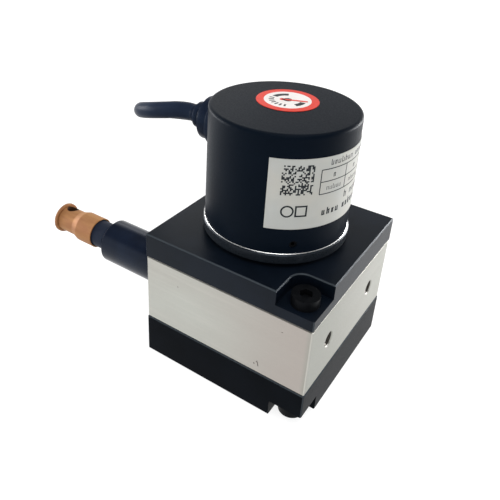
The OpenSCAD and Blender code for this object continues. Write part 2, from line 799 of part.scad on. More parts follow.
// Slotted disc that chops the light: one ring of windows near its edge
module code_disc() {
    slots = 36;
    slot_l = 2.2;
    slot_w = 0.8;
    color("#6f7880") translate([0, 0, disc_z]) difference() {
        cylinder(d = disc_d, h = disc_t);
        translate([0, 0, -eps]) cylinder(r = shaft_r, h = disc_t + 2 * eps);
        for (i = [0 : slots - 1]) rotate([0, 0, 360 * i / slots])
            translate([disc_d / 2 - slot_l - 0.8, -slot_w / 2, -eps])
                cube([slot_l, slot_w, disc_t + 2 * eps]);
    }
}

// Post beside the tower that carries the lamps under the code disc
module lamp_holder() {
    x0 = tower_r + slip;
    depth = min(lamp_l, spigot_r - spigot_t - x0 - slip);
    post_z = disc_z - 2 * lamp_r;
    color("#1f2226") {
        translate([x0, -lamp_w / 2, z_cap]) cube([depth, lamp_w, post_z - z_cap]);
        for (y = [-1, 1]) translate([x0 + depth / 2, y * lamp_w / 4, post_z])
            cylinder(r = lamp_r, h = lamp_r);
    }
}

module circuit_board() {
    color("#2f6b3c") translate([0, 0, board_z]) difference() {
        cylinder(r = board_r, h = board_t);
        pillar_places() translate([0, 0, -eps])
            cylinder(r = board_screw_r + slip, h = board_t + 2 * eps);
        translate([0, 0, -eps]) cylinder(r = shaft_r - 1, h = board_t + 2 * eps);
    }
}

// Connector, chips and capacitors on the board, and the light sensor under it
module board_parts() {
    z = board_z + board_t;
    color("#e9e6dc") translate([-inner_end_x + 0.4, -connector_w / 2, z])
        cube([connector_l, connector_w, connector_h]);
    color("#202225") {
        for (c = CHIPS) translate([c[0] * board_r, c[1] * board_r, z])
            cube([c[2] * board_r, c[3] * board_r, c[4] * board_r]);
        translate([disc_d / 2 - sensor_l, -sensor_l, board_z - sensor_h])
            cube([sensor_l, 2 * sensor_l, sensor_h]);
    }
    color("#b4b8bb") for (y = [0.48, 0.7]) translate([-board_r / 4, y * board_r, z])
        cylinder(r = 0.09 * board_r, h = connector_h);
}

module board_pillars() {
    color("#c5a558") pillar_places() difference() {
        translate([0, 0, z_cap]) cylinder(r = pillar_r, h = board_z - z_cap);
        translate([0, 0, board_z - board_screw_grip - 1])
            cylinder(r = board_screw_r, h = board_screw_grip + 2);
    }
}

module board_screws() {
    color("#b4b8bb") pillar_places() {
        translate([0, 0, board_z - board_screw_grip])
            cylinder(r = board_screw_r, h = board_t + board_screw_grip + slip);
        translate([0, 0, board_z + board_t]) difference() {
            cylinder(r = board_screw_head_r, h = board_screw_head_h);
            translate([-board_screw_head_r, -0.25, board_screw_head_h / 2])
                cube([2 * board_screw_head_r, 0.5, board_screw_head_h]);
        }
    }
}

module cap_seal() {
    color("#17191b") rotate_extrude() translate([cap_in_r - seal_r, seal_z])
        circle(r = seal_r, $fn = 24);
}

module encoder_cap() {
    arc = [for (a = [0 : 15 : 90])
        [cap_r - cap_fillet + cap_fillet * cos(a), z_cap_top - cap_fillet + cap_fillet * sin(a)]];
    color("#26292d") difference() {
        rotate_extrude() polygon(concat(
            [[cap_in_r, z_cap], [cap_r, z_cap]], arc,
            [[0, z_cap_top], [0, z_cap_top - cap_top_t], [cap_in_r, z_cap_top - cap_top_t]]
        ));
        translate([0, 0, gland_z]) rotate([0, -90, 0]) cylinder(r = gland_neck_r, h = cap_d);
        cap_screw_places() translate([0, 0, -1]) cylinder(r = m2_r, h = cap_wall + 2);
    }
}

module cap_screws() {
    color("#55595e") cap_screw_places() difference() {
        cylinder(r = m2_r, h = cap_screw_l);
        translate([0, 0, -eps]) cylinder(d = m2_r / cos(30), h = m2_r, $fn = 6);
    }
}

// ---------- cable ----------

module cable_gland() {
    rim = 0.5;
    ring_x = collar_x + nose_neck_l;
    ring_end_x = ring_x + nose_ring_l;
    color("#202327") difference() {
        translate([0, 0, gland_z]) rotate([0, -90, 0]) rotate_extrude() polygon([
            [0, gland_end_x], [collar_d / 2, gland_end_x], [collar_d / 2, collar_x - rim],
            [collar_d / 2 - rim, collar_x], [nose_neck_r, collar_x], [nose_neck_r, ring_x],
            [nose_d / 2 - rim / 2, ring_x], [nose_d / 2, ring_x + rim / 2],
            [nose_d / 2, ring_end_x - rim], [nose_d / 2 - rim, ring_end_x],
            [nose_end_r, ring_end_x], [nose_end_r, exit_x], [0, exit_x]
        ]);
        // the collar is cut to the round of the cap, and only its neck goes through
        difference() {
            cylinder(r = cap_r, h = z_cap_top);
            translate([0, 0, gland_z]) rotate([0, -90, 0])
                cylinder(r = gland_neck_r, h = cap_d);
        }
        translate([0, 0, gland_z]) rotate([0, -90, 0]) cylinder(r = cable_r, h = cap_d);
    }
}

module gland_nut() {
    color("#b4b8bb") translate([-nut_x, 0, gland_z]) rotate([0, 90, 0]) difference() {
        cylinder(r = nut_r, h = nut_t, $fn = 6);
        translate([0, 0, -eps]) cylinder(r = gland_neck_r, h = nut_t + 2 * eps);
    }
}

// End of the cable inside the cap, with its cores turned down into the connector
module inner_cable() {
    core_x = inner_end_x - 1;
    connector_top = board_z + board_t + connector_h;
    color("#202327") translate([-inner_end_x, 0, gland_z]) rotate([0, -90, 0])
        cylinder(r = cable_r, h = exit_x - inner_end_x);
    color("#b03a2e") for (i = [0 : core_count - 1])
        translate([0, (i - (core_count - 1) / 2) * core_step, 0]) {
            translate([-core_x, 0, connector_top])
                cylinder(r = core_r, h = gland_z - connector_top + core_r);
            translate([-inner_end_x, 0, gland_z]) rotate([0, 90, 0])
                cylinder(r = core_r, h = inner_end_x - core_x + core_r);
        }
}

// Sweep of a round section along a list of points
function unit(v) = v / norm(v);
function along(p, i) = unit(p[min(i + 1, len(p) - 1)] - p[max(i - 1, 0)]);
function side_of(t) = unit(cross(t, abs(t[2]) > 0.9 ? [0, 1, 0] : [0, 0, 1]));
function carried(p, i) = i == 0
    ? side_of(along(p, 0))
    : let (t = along(p, i), s = carried(p, i - 1)) unit(s - (s * t) * t);
function ring_points(p, i, r, sides) = let (t = along(p, i), s = carried(p, i), u = cross(t, s))
    [for (k = [0 : sides - 1])
        p[i] + r * cos(360 * k / sides) * s + r * sin(360 * k / sides) * u];

module cable_tube() {
    n = len(CABLE);
    m = CABLE_SIDES;
    points = [for (i = [0 : n - 1]) each ring_points(CABLE, i, cable_r, m)];
    sides = [for (i = [0 : n - 2], k = [0 : m - 1])
        [i * m + k, i * m + (k + 1) % m, (i + 1) * m + (k + 1) % m, (i + 1) * m + k]];
    start = [for (k = [m - 1 : -1 : 0]) k];
    end = [for (k = [0 : m - 1]) (n - 1) * m + k];
    color("#202327") polyhedron(points, concat([start], sides, [end]));
}

module cable_coil() {
    color("#202327") translate([coil_at[0], coil_at[1], tie_t]) tube(coil_out_r, coil_in_r, coil_h);
}

module coil_tie() {
    w = coil_out_r - tie_in_r;
    color("#17191b") translate([coil_at[0], coil_at[1] + tie_in_r - tie_t, 0])
        rotate([90, 0, 90]) linear_extrude(tie_w, center = true) difference() {
            square([w + 2 * tie_t, coil_h + 2 * tie_t]);
            translate([tie_t, tie_t]) square([w, coil_h]);
        }
}

module cable_leads() {
    translate([coil_at[0], coil_at[1], tie_t + cable_r]) rotate([0, 0, tail_turn])
        translate([0, tail_off, 0]) rotate([0, -90, 0]) {
            color("#202327") translate([0, 0, -tail_l]) cylinder(r = cable_r, h = tail_l);
            color("#c0392b") for (i = [0 : lead_count - 1])
                translate([0, (i - (lead_count - 1) / 2) * lead_step, 0])
                    cylinder(r = lead_r, h = lead_l, $fn = 16);
        }
}

// ---------- label and sticker ----------

module side_label() {
    steps = 6;
    color("#c9c9c4") translate([0, 0, z_cap + label_z]) intersection() {
        tube(cap_r + film_t, cap_r, label_h);
        linear_extrude(label_h) polygon(concat([[0, 0]], [for (i = [0 : steps])
            2 * cap_r * [cos(label_from + label_sweep * i / steps),
                sin(label_from + label_sweep * i / steps)]]));
    }
}

module top_sticker() {
    color("#e8453a") translate([sticker_at[0], sticker_at[1], z_cap_top])
        cylinder(d = sticker_d, h = film_t);
}

base_plate();
drum_housing();
top_plate();
top_screws();
base_screws();
spring_cover();
power_spring();
spring_arbor();
drum();
wound_wire();
drum_shaft();
drum_set_screws();
bearing_outer_rings();
bearing_inner_rings();
bearing_balls();
wire_outlet();
outlet_eyelet();
outlet_wiper();
draw_wire();
wire_bumper();
wire_ferrule();
wire_clip();
encoder_flange();
encoder_screws();
bearing_spacer();
encoder_shaft();
retaining_ring();
code_disc();
disc_hub();
lamp_holder();
circuit_board();
board_parts();
board_pillars();
board_screws();
cap_seal();
encoder_cap();
cap_screws();
cable_gland();
gland_nut();
inner_cable();
side_label();
top_sticker();
cable_tube();
cable_coil();
coil_tie();
cable_leads();
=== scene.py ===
# %% [markdown]
# # A draw wire encoder
#
# This lesson dresses a small measuring instrument. A thin steel wire is wound on a
# sprung drum in a square housing, and a rotary encoder on top turns with the drum.
# The real-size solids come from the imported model, which is loaded first as a fixed
# frame, and most places below are worked out from their boxes. What the solids can't
# show is made here: finishes, rounded rims, print, cable, threads and small marks.

# %% Load the frame
import json
import math
import random

import bmesh
import bpy
from mathutils import Matrix, Vector


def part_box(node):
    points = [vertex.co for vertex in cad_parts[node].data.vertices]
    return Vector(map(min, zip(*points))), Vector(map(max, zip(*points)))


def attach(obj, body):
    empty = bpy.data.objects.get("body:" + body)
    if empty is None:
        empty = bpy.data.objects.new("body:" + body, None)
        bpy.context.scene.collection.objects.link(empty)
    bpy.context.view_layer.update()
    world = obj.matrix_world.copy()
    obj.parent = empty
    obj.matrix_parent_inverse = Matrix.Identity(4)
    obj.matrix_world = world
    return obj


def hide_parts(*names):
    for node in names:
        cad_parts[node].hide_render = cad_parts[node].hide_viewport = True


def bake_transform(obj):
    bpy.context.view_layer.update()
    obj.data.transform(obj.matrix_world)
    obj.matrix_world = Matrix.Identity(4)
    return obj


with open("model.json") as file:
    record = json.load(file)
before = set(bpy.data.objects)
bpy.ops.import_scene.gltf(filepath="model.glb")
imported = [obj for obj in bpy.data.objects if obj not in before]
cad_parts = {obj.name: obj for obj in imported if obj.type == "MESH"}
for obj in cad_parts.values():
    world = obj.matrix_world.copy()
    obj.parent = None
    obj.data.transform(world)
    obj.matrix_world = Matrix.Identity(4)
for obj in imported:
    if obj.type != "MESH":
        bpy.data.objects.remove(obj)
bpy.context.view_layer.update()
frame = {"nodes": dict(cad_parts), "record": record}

MM = 0.001
nodes = frame["nodes"]
mounts = {mount["name"]: mount for mount in frame["record"]["mounts"]}


def span(node):
    """Lowest and highest corner of a solid, and its middle, in metres."""
    low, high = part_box(node)
    return low, high, (low + high) / 2


# %% [markdown]
# ## The camera
#
# The instrument is looked at from above its front corner, so that the wire outlet
# points to the left and the side with the mounting holes recedes to the right. The
# lens sees about as wide as the eye does, and a small shift places the instrument in the
# frame. A camera could be turned by three angles, but a matrix made of its right, up and
# back directions needs no order of turning and is easy to check. The camera comes before
# the cable, because the cable's rules depend on what the camera sees.

# %% Camera
FRAME_SIZE = 500
SENSOR = 36.0
camera_at = Vector((62.26, -121.25, 124.86)) * MM
camera_turn = math.radians(32.8)
camera_tilt = math.radians(28.25)
camera_roll = math.radians(2.8)
focal = 584.3           # focal length in parts of the frame's 500

camera_data = bpy.data.cameras.new("camera")
camera_data.sensor_width = SENSOR
camera_data.lens = SENSOR * focal / FRAME_SIZE
camera_data.shift_x = 0.045
camera_data.shift_y = -0.131
camera_data.clip_start = 0.005
camera_data.clip_end = 10.0
camera = bpy.data.objects.new("camera", camera_data)
bpy.context.scene.collection.objects.link(camera)
bpy.context.scene.camera = camera

back = Vector((math.sin(camera_turn) * math.cos(camera_tilt),
               -math.cos(camera_turn) * math.cos(camera_tilt), math.sin(camera_tilt)))
level = Vector((math.cos(camera_turn), math.sin(camera_turn), 0.0))
rise = back.cross(level)
right = level * math.cos(camera_roll) + rise * math.sin(camera_roll)
up = rise * math.cos(camera_roll) - level * math.sin(camera_roll)
camera.matrix_world = Matrix((
    (right.x, up.x, back.x, camera_at.x),
    (right.y, up.y, back.y, camera_at.y),
    (right.z, up.z, back.z, camera_at.z),
    (0, 0, 0, 1)))
print("camera lens", round(camera_data.lens, 1), "mm")

# %% [markdown]
# ## Helpers
#
# One function turns a written colour into the linear numbers that a shader needs, and
# one adds a node of any kind with its settings and its links, so that a material is
# then a few lines that read from top to bottom.

# %% Helpers for materials
def linear(code):
    """Linear red, green, blue and alpha of a colour written as #rrggbb, by the sRGB rule."""
    parts = [int(code[i:i + 2], 16) / 255 for i in (1, 3, 5)]
    return [part / 12.92 if part <= 0.04045 else ((part + 0.055) / 1.055) ** 2.4
            for part in parts] + [1.0]


def add(tree, kind, settings=None, **inputs):
    """Adds a node with its settings and its inputs, and returns it.

    An input is named with _ for each space, or _0, _1 and so on for its number. It takes
    a value, a socket, or a node, of which the first output is linked."""
    made = tree.nodes.new(kind)
    for name, value in (settings or {}).items():
        setattr(made, name, value)
    for name, value in inputs.items():
        key = int(name[1:]) if name.startswith("_") else name.replace("_", " ")
        if isinstance(value, bpy.types.Node):
            value = value.outputs[0]
        if isinstance(value, bpy.types.NodeSocket):
            tree.links.new(value, made.inputs[key])
        else:
            made.inputs[key].default_value = value
    return made


def empty_tree(owner):
    """Switches on the nodes of a material or a world, and clears what they start with."""
    owner.use_nodes = True
    owner.node_tree.nodes.clear()
    return owner.node_tree


def new_material(name, **shader_values):
    """A material with its Principled shader, its tree and its object coordinates."""
    made = bpy.data.materials.new(name)
    tree = empty_tree(made)
    shader = add(tree, "ShaderNodeBsdfPrincipled", **shader_values)
    add(tree, "ShaderNodeOutputMaterial", Surface=shader)
    place = add(tree, "ShaderNodeTexCoord")
    return made, tree, shader, place


def per_metre(size_mm):
    """Scale of a texture whose marks are size_mm apart."""
    return 1.0 / (size_mm * MM)


# %% [markdown]
# A finished bmesh becomes an object that rides on one of the part's bodies. Its place
# stays in its mesh, so the object itself lies at the origin, as the solids do. Most of
# this instrument is turned on a lathe, so one function spins an outline into a solid of
# revolution, which closes better than a cylinder that is cut and joined.

# %% Helpers for pieces
MERGE = 1e-7            # points nearer than this, in metres, are one point


def put(piece, body, slot, *replaced):
    """Rides a piece on its body and hides the solids that it stands for; slot is not used."""
    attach(piece, body)
    if replaced:
        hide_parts(*replaced)
    return piece


def finish_mesh(name, shape, material, smooth_angle=35):
    """Turns a bmesh into an object, smooth but for edges sharper than the angle."""
    bmesh.ops.remove_doubles(shape, verts=shape.verts, dist=MERGE)
    bmesh.ops.recalc_face_normals(shape, faces=shape.faces)
    mesh = bpy.data.meshes.new(name)
    shape.to_mesh(mesh)
    shape.free()
    for polygon in mesh.polygons:
        polygon.use_smooth = True
    mesh.set_sharp_from_angle(angle=math.radians(smooth_angle))
    mesh.materials.append(material)
    piece = bpy.data.objects.new(name, mesh)
    bpy.context.scene.collection.objects.link(piece)
    return piece


def lathe(profile, axis="Z", centre=(0, 0, 0), steps=160):
    """Spins an outline of (radius, height) points, in metres, into a closed bmesh.

    Its heights run up along +Z, or out along -X, from the centre."""
    shape = bmesh.new()
    ring = [shape.verts.new((radius, 0, height)) for radius, height in profile]
    edges = [shape.edges.new((a, b)) for a, b in zip(ring, ring[1:] + ring[:1])]
    bmesh.ops.spin(shape, geom=ring + edges, cent=(0, 0, 0), axis=(0, 0, 1),
                   angle=math.tau, steps=steps, use_merge=True, use_duplicate=False)
    bmesh.ops.remove_doubles(shape, verts=shape.verts, dist=MERGE)
    bmesh.ops.dissolve_degenerate(shape, edges=shape.edges, dist=MERGE / 10)
    if axis == "-X":
        turn = Matrix.Rotation(math.radians(-90), 4, "Y")
        bmesh.ops.transform(shape, matrix=turn, verts=shape.verts)
    bmesh.ops.translate(shape, vec=Vector(centre), verts=shape.verts)
    return shape

# %% [markdown]
# ## The cable
#
# The encoder's cable is a round PVC cable, 4.8 mm thick and a metre long. It leaves
# the gland level, bends over behind the encoder and comes down to the floor, where the
# rest lies in a neat tied coil. Short tubes set end to end would show their joints, so
# it is one Bezier curve with a round section, whose true length can be measured. Listed
# points carry the free stretch, and a loop works out the coil: each lap lies beside
# or on the last, and each crossing to the next place comes a little earlier, so that
# laps never meet.

# %% Route of the cable
CABLE_D = 4.8 * MM
route = [Vector(point) * MM for point in (
    (-27.75, 0, 65.8), (-29.5, 0, 65.8), (-32.9, -0.2, 65.4), (-38.2, -0.4, 64.1),
    (-44.4, 0.6, 62.2), (-50.5, 4.1, 59.7), (-55, 9.8, 56.9), (-56.7, 16.8, 54.3),
    (-55.6, 23.9, 52.1), (-51.6, 30.3, 50.3), (-45.4, 34.9, 49), (-37.8, 37.1, 48.1),
    (-30, 36.9, 47), (-23.5, 37.5, 44.4), (-17.7, 38.9, 40.6), (-13, 41.3, 35.9),
    (-9.7, 44.6, 30.7), (-7.7, 48.9, 25.5), (-7.1, 53.9, 20.7), (-7.7, 59.4, 16.8),
    (-9.1, 65.5, 14), (-10.6, 72, 12.6))]

coil_low, coil_high, coil_middle = span("cable_coil")
outer_turn = (coil_high.x - coil_low.x - CABLE_D) / 2
inner_turn = outer_turn - CABLE_D
layer = [coil_low.z + CABLE_D / 2 + CABLE_D * i for i in range(3)]
LAPS = [(outer_turn, layer[2]), (inner_turn, layer[2]), (inner_turn, layer[1]),
        (outer_turn, layer[1]), (outer_turn, layer[0]), (inner_turn, layer[0])]
FIRST_CROSSING = 335    # degrees round the coil where the cable first changes its lap
CROSSING_STEP = 45      # degrees by which each later crossing comes earlier
CROSSING_WIDTH = 40     # degrees that a crossing takes
TAIL_TURN = 60          # degrees into the last lap where the cable leaves the coil
STEPS_PER_TURN = 24


def coil_point(angle):
    """The point of the coiled cable after this many degrees from its first lap."""
    radius, height = LAPS[0]
    for lap in range(1, len(LAPS)):
        centre = 360 * (lap - 1) + FIRST_CROSSING - CROSSING_STEP * (lap - 1)
        way = min(1, max(0, (angle - centre) / CROSSING_WIDTH + 0.5))
        way = way * way * (3 - 2 * way)
        radius += (LAPS[lap][0] - LAPS[lap - 1][0]) * way
        height += (LAPS[lap][1] - LAPS[lap - 1][1]) * way
    turn = math.radians(angle)
    return Vector((coil_middle.x + radius * math.cos(turn),
                   coil_middle.y + radius * math.sin(turn), height))


coil_end = 360 * (len(LAPS) - 1) + TAIL_TURN
coil_steps = round(STEPS_PER_TURN * coil_end / 360)
laps = [coil_point(coil_end * i / coil_steps) for i in range(1, coil_steps + 1)]

TAIL_BEND = 13.5 * MM   # radius in which the tail turns in across the coil
tail_frame = (Matrix.Translation((coil_middle.x, coil_middle.y, layer[0]))
              @ Matrix.Rotation(math.radians(TAIL_TURN), 4, "Z"))
tail = []
for bend in (18, 36, 54, 72, 90):
    turn = math.radians(bend)
    tail.append(tail_frame @ Vector((
        inner_turn - TAIL_BEND + TAIL_BEND * math.cos(turn), TAIL_BEND * math.sin(turn), 0)))
tail += [tail_frame @ Vector((x * MM, TAIL_BEND, 0)) for x in (4, 0)]

# %% Cable piece
jacket_curve = bpy.data.curves.new("cable", "CURVE")
jacket_curve.dimensions = "3D"
jacket_curve.bevel_depth = CABLE_D / 2
jacket_curve.bevel_resolution = 8
jacket_curve.resolution_u = 6
jacket_curve.use_fill_caps = True
cable_points = route + laps + tail
spline = jacket_curve.splines.new("BEZIER")
spline.bezier_points.add(len(cable_points) - 1)
for knot, point in zip(spline.bezier_points, cable_points):
    knot.co = point
    knot.handle_left_type = knot.handle_right_type = "AUTO"
cable = bpy.data.objects.new("cable", jacket_curve)
bpy.context.scene.collection.objects.link(cable)

# %% [markdown]
# ## Finishes
#
# Every finish starts from the same thing a metalworker or a moulder sees: a base
# colour that wanders a little over some millimetres, and a fine grain that breaks up
# the gloss and lifts the surface by a few thousandths of a millimetre. A flat colour
# would look like a drawing, and an image would repeat itself, so both come from noise
# on object coordinates, which is fixed to the metal. One function makes that, with the
# sizes given in millimetres, and each finish adds what is its own.

# %% A surface with wandering colour and fine grain
MIDDLE_OF_NOISE = (0.35, 0.65)      # nearly all of a noise texture's values lie in here
MIDDLE_OF_GRAIN = (0.3, 0.7)
GLOSS_SPREAD = 0.05                 # roughness goes up and down by this with the grain
COOL_SHEEN = "#d7e3f2"              # the cool tint in which dark coats mirror daylight


def surface(name, colour, second, spread_mm, grain_mm, bump_mm, rough, stretch=(1, 1, 1),
            **values):
    """A material whose colour wanders over spread_mm and whose grain is grain_mm apart."""
    made, tree, shader, place = new_material(name, **values)
    mapped = add(tree, "ShaderNodeMapping", Vector=place.outputs["Object"], Scale=stretch)
    wander = add(tree, "ShaderNodeTexNoise", Vector=mapped, Scale=per_metre(spread_mm),
                 Detail=3.0, Roughness=0.5)
    grain = add(tree, "ShaderNodeTexNoise", Vector=mapped, Scale=per_metre(grain_mm),
                Detail=2.0, Roughness=0.6)
    share = add(tree, "ShaderNodeMapRange", Value=wander, From_Min=MIDDLE_OF_NOISE[0],
                From_Max=MIDDLE_OF_NOISE[1])
    tint = add(tree, "ShaderNodeMix", {"data_type": "RGBA"}, _0=share, _6=linear(colour),
               _7=linear(second))
    gloss = add(tree, "ShaderNodeMapRange", Value=grain, From_Min=MIDDLE_OF_GRAIN[0],
                From_Max=MIDDLE_OF_GRAIN[1], To_Min=rough - GLOSS_SPREAD,
                To_Max=rough + GLOSS_SPREAD)
    lift = add(tree, "ShaderNodeBump", Height=grain, Distance=bump_mm * MM, Strength=1.0)
    tree.links.new(tint.outputs[2], shader.inputs["Base Color"])
    tree.links.new(gloss.outputs[0], shader.inputs["Roughness"])
    tree.links.new(lift.outputs[0], shader.inputs["Normal"])
    return made, tree, shader, place


def tint_over(tree, shader, mask, colour, share=1.0):
    """Lays a colour over the surface's own, as strongly as mask times share."""
    weight = add(tree, "ShaderNodeMath", {"operation": "MULTIPLY"}, _0=mask, _1=share)
    under = shader.inputs["Base Color"].links[0].from_socket
    over = add(tree, "ShaderNodeMix", {"data_type": "RGBA"}, _0=weight, _6=under,
               _7=linear(colour))
    tree.links.new(over.outputs[2], shader.inputs["Base Color"])


# %% [markdown]
# Two kinds of place get painted light or shade of their own: a block's edges, and the
# inside of a hole. Painting them by hand would tie the finish to one mesh. A mask worked out
# from the solid's box, or from a hole's axis, keeps to its place by itself. A 45 degree
# chamfer is known by the slope of its normal, and an upright corner by its distance
# from the middle, since the blocks stand square about the origin.

# %% Masks of edges and holes
EDGE_SLOPE = math.sin(math.radians(45))
EDGE_SLACK = 0.12                   # how far a chamfer's slope may be off
CORNER_WIDTH = 0.28 * MM


def edge_masks(tree, place, node):
    """Masks of a block's 45 degree chamfers and of its upright corners."""
    high = span(node)[1]
    normal = add(tree, "ShaderNodeSeparateXYZ", _0=place.outputs["Normal"])
    tilt = add(tree, "ShaderNodeMath", {"operation": "ABSOLUTE"}, _0=normal.outputs[2])
    sloped = add(tree, "ShaderNodeMath", {"operation": "COMPARE"}, _0=tilt, _1=EDGE_SLOPE,
                 _2=EDGE_SLACK)
    folded = add(tree, "ShaderNodeVectorMath", {"operation": "ABSOLUTE"},
                 _0=place.outputs["Object"])
    spot = add(tree, "ShaderNodeSeparateXYZ", _0=folded)
    far_x, far_y = [add(tree, "ShaderNodeMath", {"operation": "GREATER_THAN"},
                        _0=spot.outputs[side], _1=high[side] - CORNER_WIDTH)
                    for side in (0, 1)]
    corners = add(tree, "ShaderNodeMath", {"operation": "MULTIPLY"}, _0=far_x, _1=far_y)
    return sloped, corners


def hole_mask(tree, position, centre, axis, radius):
    """Mask of all that lies within a radius of a hole's axis."""
    out = add(tree, "ShaderNodeVectorMath", {"operation": "SUBTRACT"}, _0=position,
              _1=centre)
    across = add(tree, "ShaderNodeVectorMath", {"operation": "CROSS_PRODUCT"}, _0=out,
                 _1=axis)
    away = add(tree, "ShaderNodeVectorMath", {"operation": "LENGTH"}, _0=across)
    return add(tree, "ShaderNodeMath", {"operation": "LESS_THAN"},
               _0=away.outputs["Value"], _1=radius)


# %% [markdown]
# The two plates, the outlet tube and the encoder's flange are aluminium, dyed black in
# the anodising bath. Before that, the plates were milled and blasted fine, and the round
# pieces were only turned. The dye is a blue black. The oxide is porous and drinks most
# of the light, so it mirrors far less than a lacquer would. A low specular level says that
# better than a high roughness, which would only smear the same light. The plates' edges
# are painted paler, as a painted highlight along the chamfers and corners, with a little
# rubbed wear. Pits and tool marks are about 0.05 mm apart, drawn here at 0.22 mm so that
# they show.

# %% Black anodised aluminium
# painted highlight: a pale tone laid on the chamfers and upright corners
EDGE_HIGHLIGHT_TONE = "#3d4348"
EDGE_HIGHLIGHT_SHARE = 0.85                       # share of an edge painted pale: painted highlight, with a little wear


def black_anodised(name, block=None, colour="#080e16", second="#0c131d", level=0.11,
                   rough=0.36):
    """Dyed aluminium. block names the solid whose edges are painted pale, as painted
    highlight with a little wear.
    """
    made, tree, shader, place = surface(
        name, colour, second, spread_mm=9, grain_mm=0.22, bump_mm=0.004, rough=rough,
        Metallic=0.0, IOR=1.6, Specular_IOR_Level=level, Specular_Tint=linear(COOL_SHEEN))
    if block:
        sloped, corners = edge_masks(tree, place, block)
        edges = add(tree, "ShaderNodeMath", {"operation": "MAXIMUM"}, _0=sloped, _1=corners)
        tint_over(tree, shader, edges, EDGE_HIGHLIGHT_TONE, EDGE_HIGHLIGHT_SHARE)
    return made


# %% [markdown]
# The housing between the plates is bare aluminium with a clear anodised skin. It was
# ground along its length, so its grain is drawn out along the faces. The clear skin is
# slightly cloudy: its grey leans to green, and to pink towards one end of the front. The
# side is painted darker at its near end, as painted shade. The chamfers are painted duller
# than the faces, as painted shade that tones down their reflection, the upright corners
# are painted brighter, as a painted highlight, and the tapped holes are painted dark, as
# painted shade. Real grinding lines are a few hundredths of a millimetre apart, drawn
# here at about a millimetre.

# %% Grinding lines, clouds and painted shade
SKIN = 1.5 * MM                     # how deep a tone reaches in from its face
housing_low, housing_high, housing_middle = span("drum_housing")


def grinding_lines(tree, shader, place):
    """Faint pale lines that run level along the faces."""
    drawn_out = add(tree, "ShaderNodeMapping", Vector=place.outputs["Object"],
                    Scale=(0.06, 0.06, 1.0))
    lines = add(tree, "ShaderNodeTexNoise", Vector=drawn_out, Scale=per_metre(1.1),
                Detail=3.0)
    strength = add(tree, "ShaderNodeMapRange", Value=lines, From_Min=0.5, From_Max=0.8,
                   To_Max=0.18)
    tint_over(tree, shader, strength, "#d3d1ca")


def clouds_and_shade(tree, shader, place):
    """One slow change of tone along the front face, and painted shade along the side face,
    darker towards its near end.
    """
    low, high = housing_low, housing_high
    spot = add(tree, "ShaderNodeSeparateXYZ", _0=place.outputs["Object"])
    tones = (       # axis it runs along, from, to, axis across, face, behind, least, tone
        (0, housing_middle.x - 12 * MM, high.x, 1, low.y + 0.1 * MM, low.y + SKIN, 0.0,
         "#a9a09a"),
        # painted shade: the side face darker towards its near end
        (1, high.y - 6 * MM, low.y, 0, high.x - 0.1 * MM, high.x - SKIN, 0.2, "#989991"))
    for runs, start, stop, across, face, behind, least, tone in tones:
        along_face = add(tree, "ShaderNodeMapRange", {"interpolation_type": "SMOOTHSTEP"},
                         Value=spot.outputs[runs], From_Min=start, From_Max=stop,
                         To_Min=least, To_Max=0.8)
        on_face = add(tree, "ShaderNodeMapRange", Value=spot.outputs[across],
                      From_Min=face, From_Max=behind, To_Min=1.0, To_Max=0.0)
        tint_over(tree, shader, along_face, tone, on_face)


# %% Bare aluminium
side_holes = mounts["side_holes"]
SIDE_HOLE_R = side_holes["dims"]["hole_r_mm"] * MM
HALF_STEP = side_holes["dims"]["spacing_x_mm"] / 2 * MM
hole_x, hole_y, hole_z = side_holes["pos_m"]


def bare_aluminium():
    """Clear anodised aluminium with grinding lines, clouds, and painted light and shade on
    its side, edges and holes.
    """
    made, tree, shader, place = surface(
        "ground aluminium, clear anodised", "#b6b7b0", "#b0aea7", spread_mm=16, grain_mm=0.3,
        bump_mm=0.003, rough=0.4, stretch=(0.35, 0.35, 1.0), Metallic=0.9)
    grinding_lines(tree, shader, place)
    clouds_and_shade(tree, shader, place)
    sloped, corners = edge_masks(tree, place, "drum_housing")
    # painted shade on the chamfers, which tones down their reflection
    tint_over(tree, shader, sloped, "#74726d", 0.75)
    # painted highlight on the upright corners
    tint_over(tree, shader, corners, "#dddbd5", 0.4)
    # painted shade inside the two tapped holes
    folded = add(tree, "ShaderNodeVectorMath", {"operation": "ABSOLUTE"},
                 _0=place.outputs["Object"])       # so that one mask serves both holes
    hole_shade = hole_mask(tree, folded, (hole_x, HALF_STEP, hole_z), (1, 0, 0),
                      SIDE_HOLE_R + 0.03 * MM)
    tint_over(tree, shader, hole_shade, "#211f1c", 0.92)
    return made


# %% [markdown]
# The clip on the wire's end is turned aluminium, anodised the colour of bronze, so
# that it can't be taken for a fixed part. The dye has run a little unevenly along it.
# The end flange is darker, and the cross hole is painted dark, as painted shade. A dyed
# oxide lies between paint and bare metal in its shine, so it is about half metallic.
# Tool marks are a few hundredths of a millimetre apart, drawn here at 0.25 mm.

# %% Bronze anodised aluminium
clip_low = span("wire_clip")[0]
clip_hole = mounts["clip_hole"]


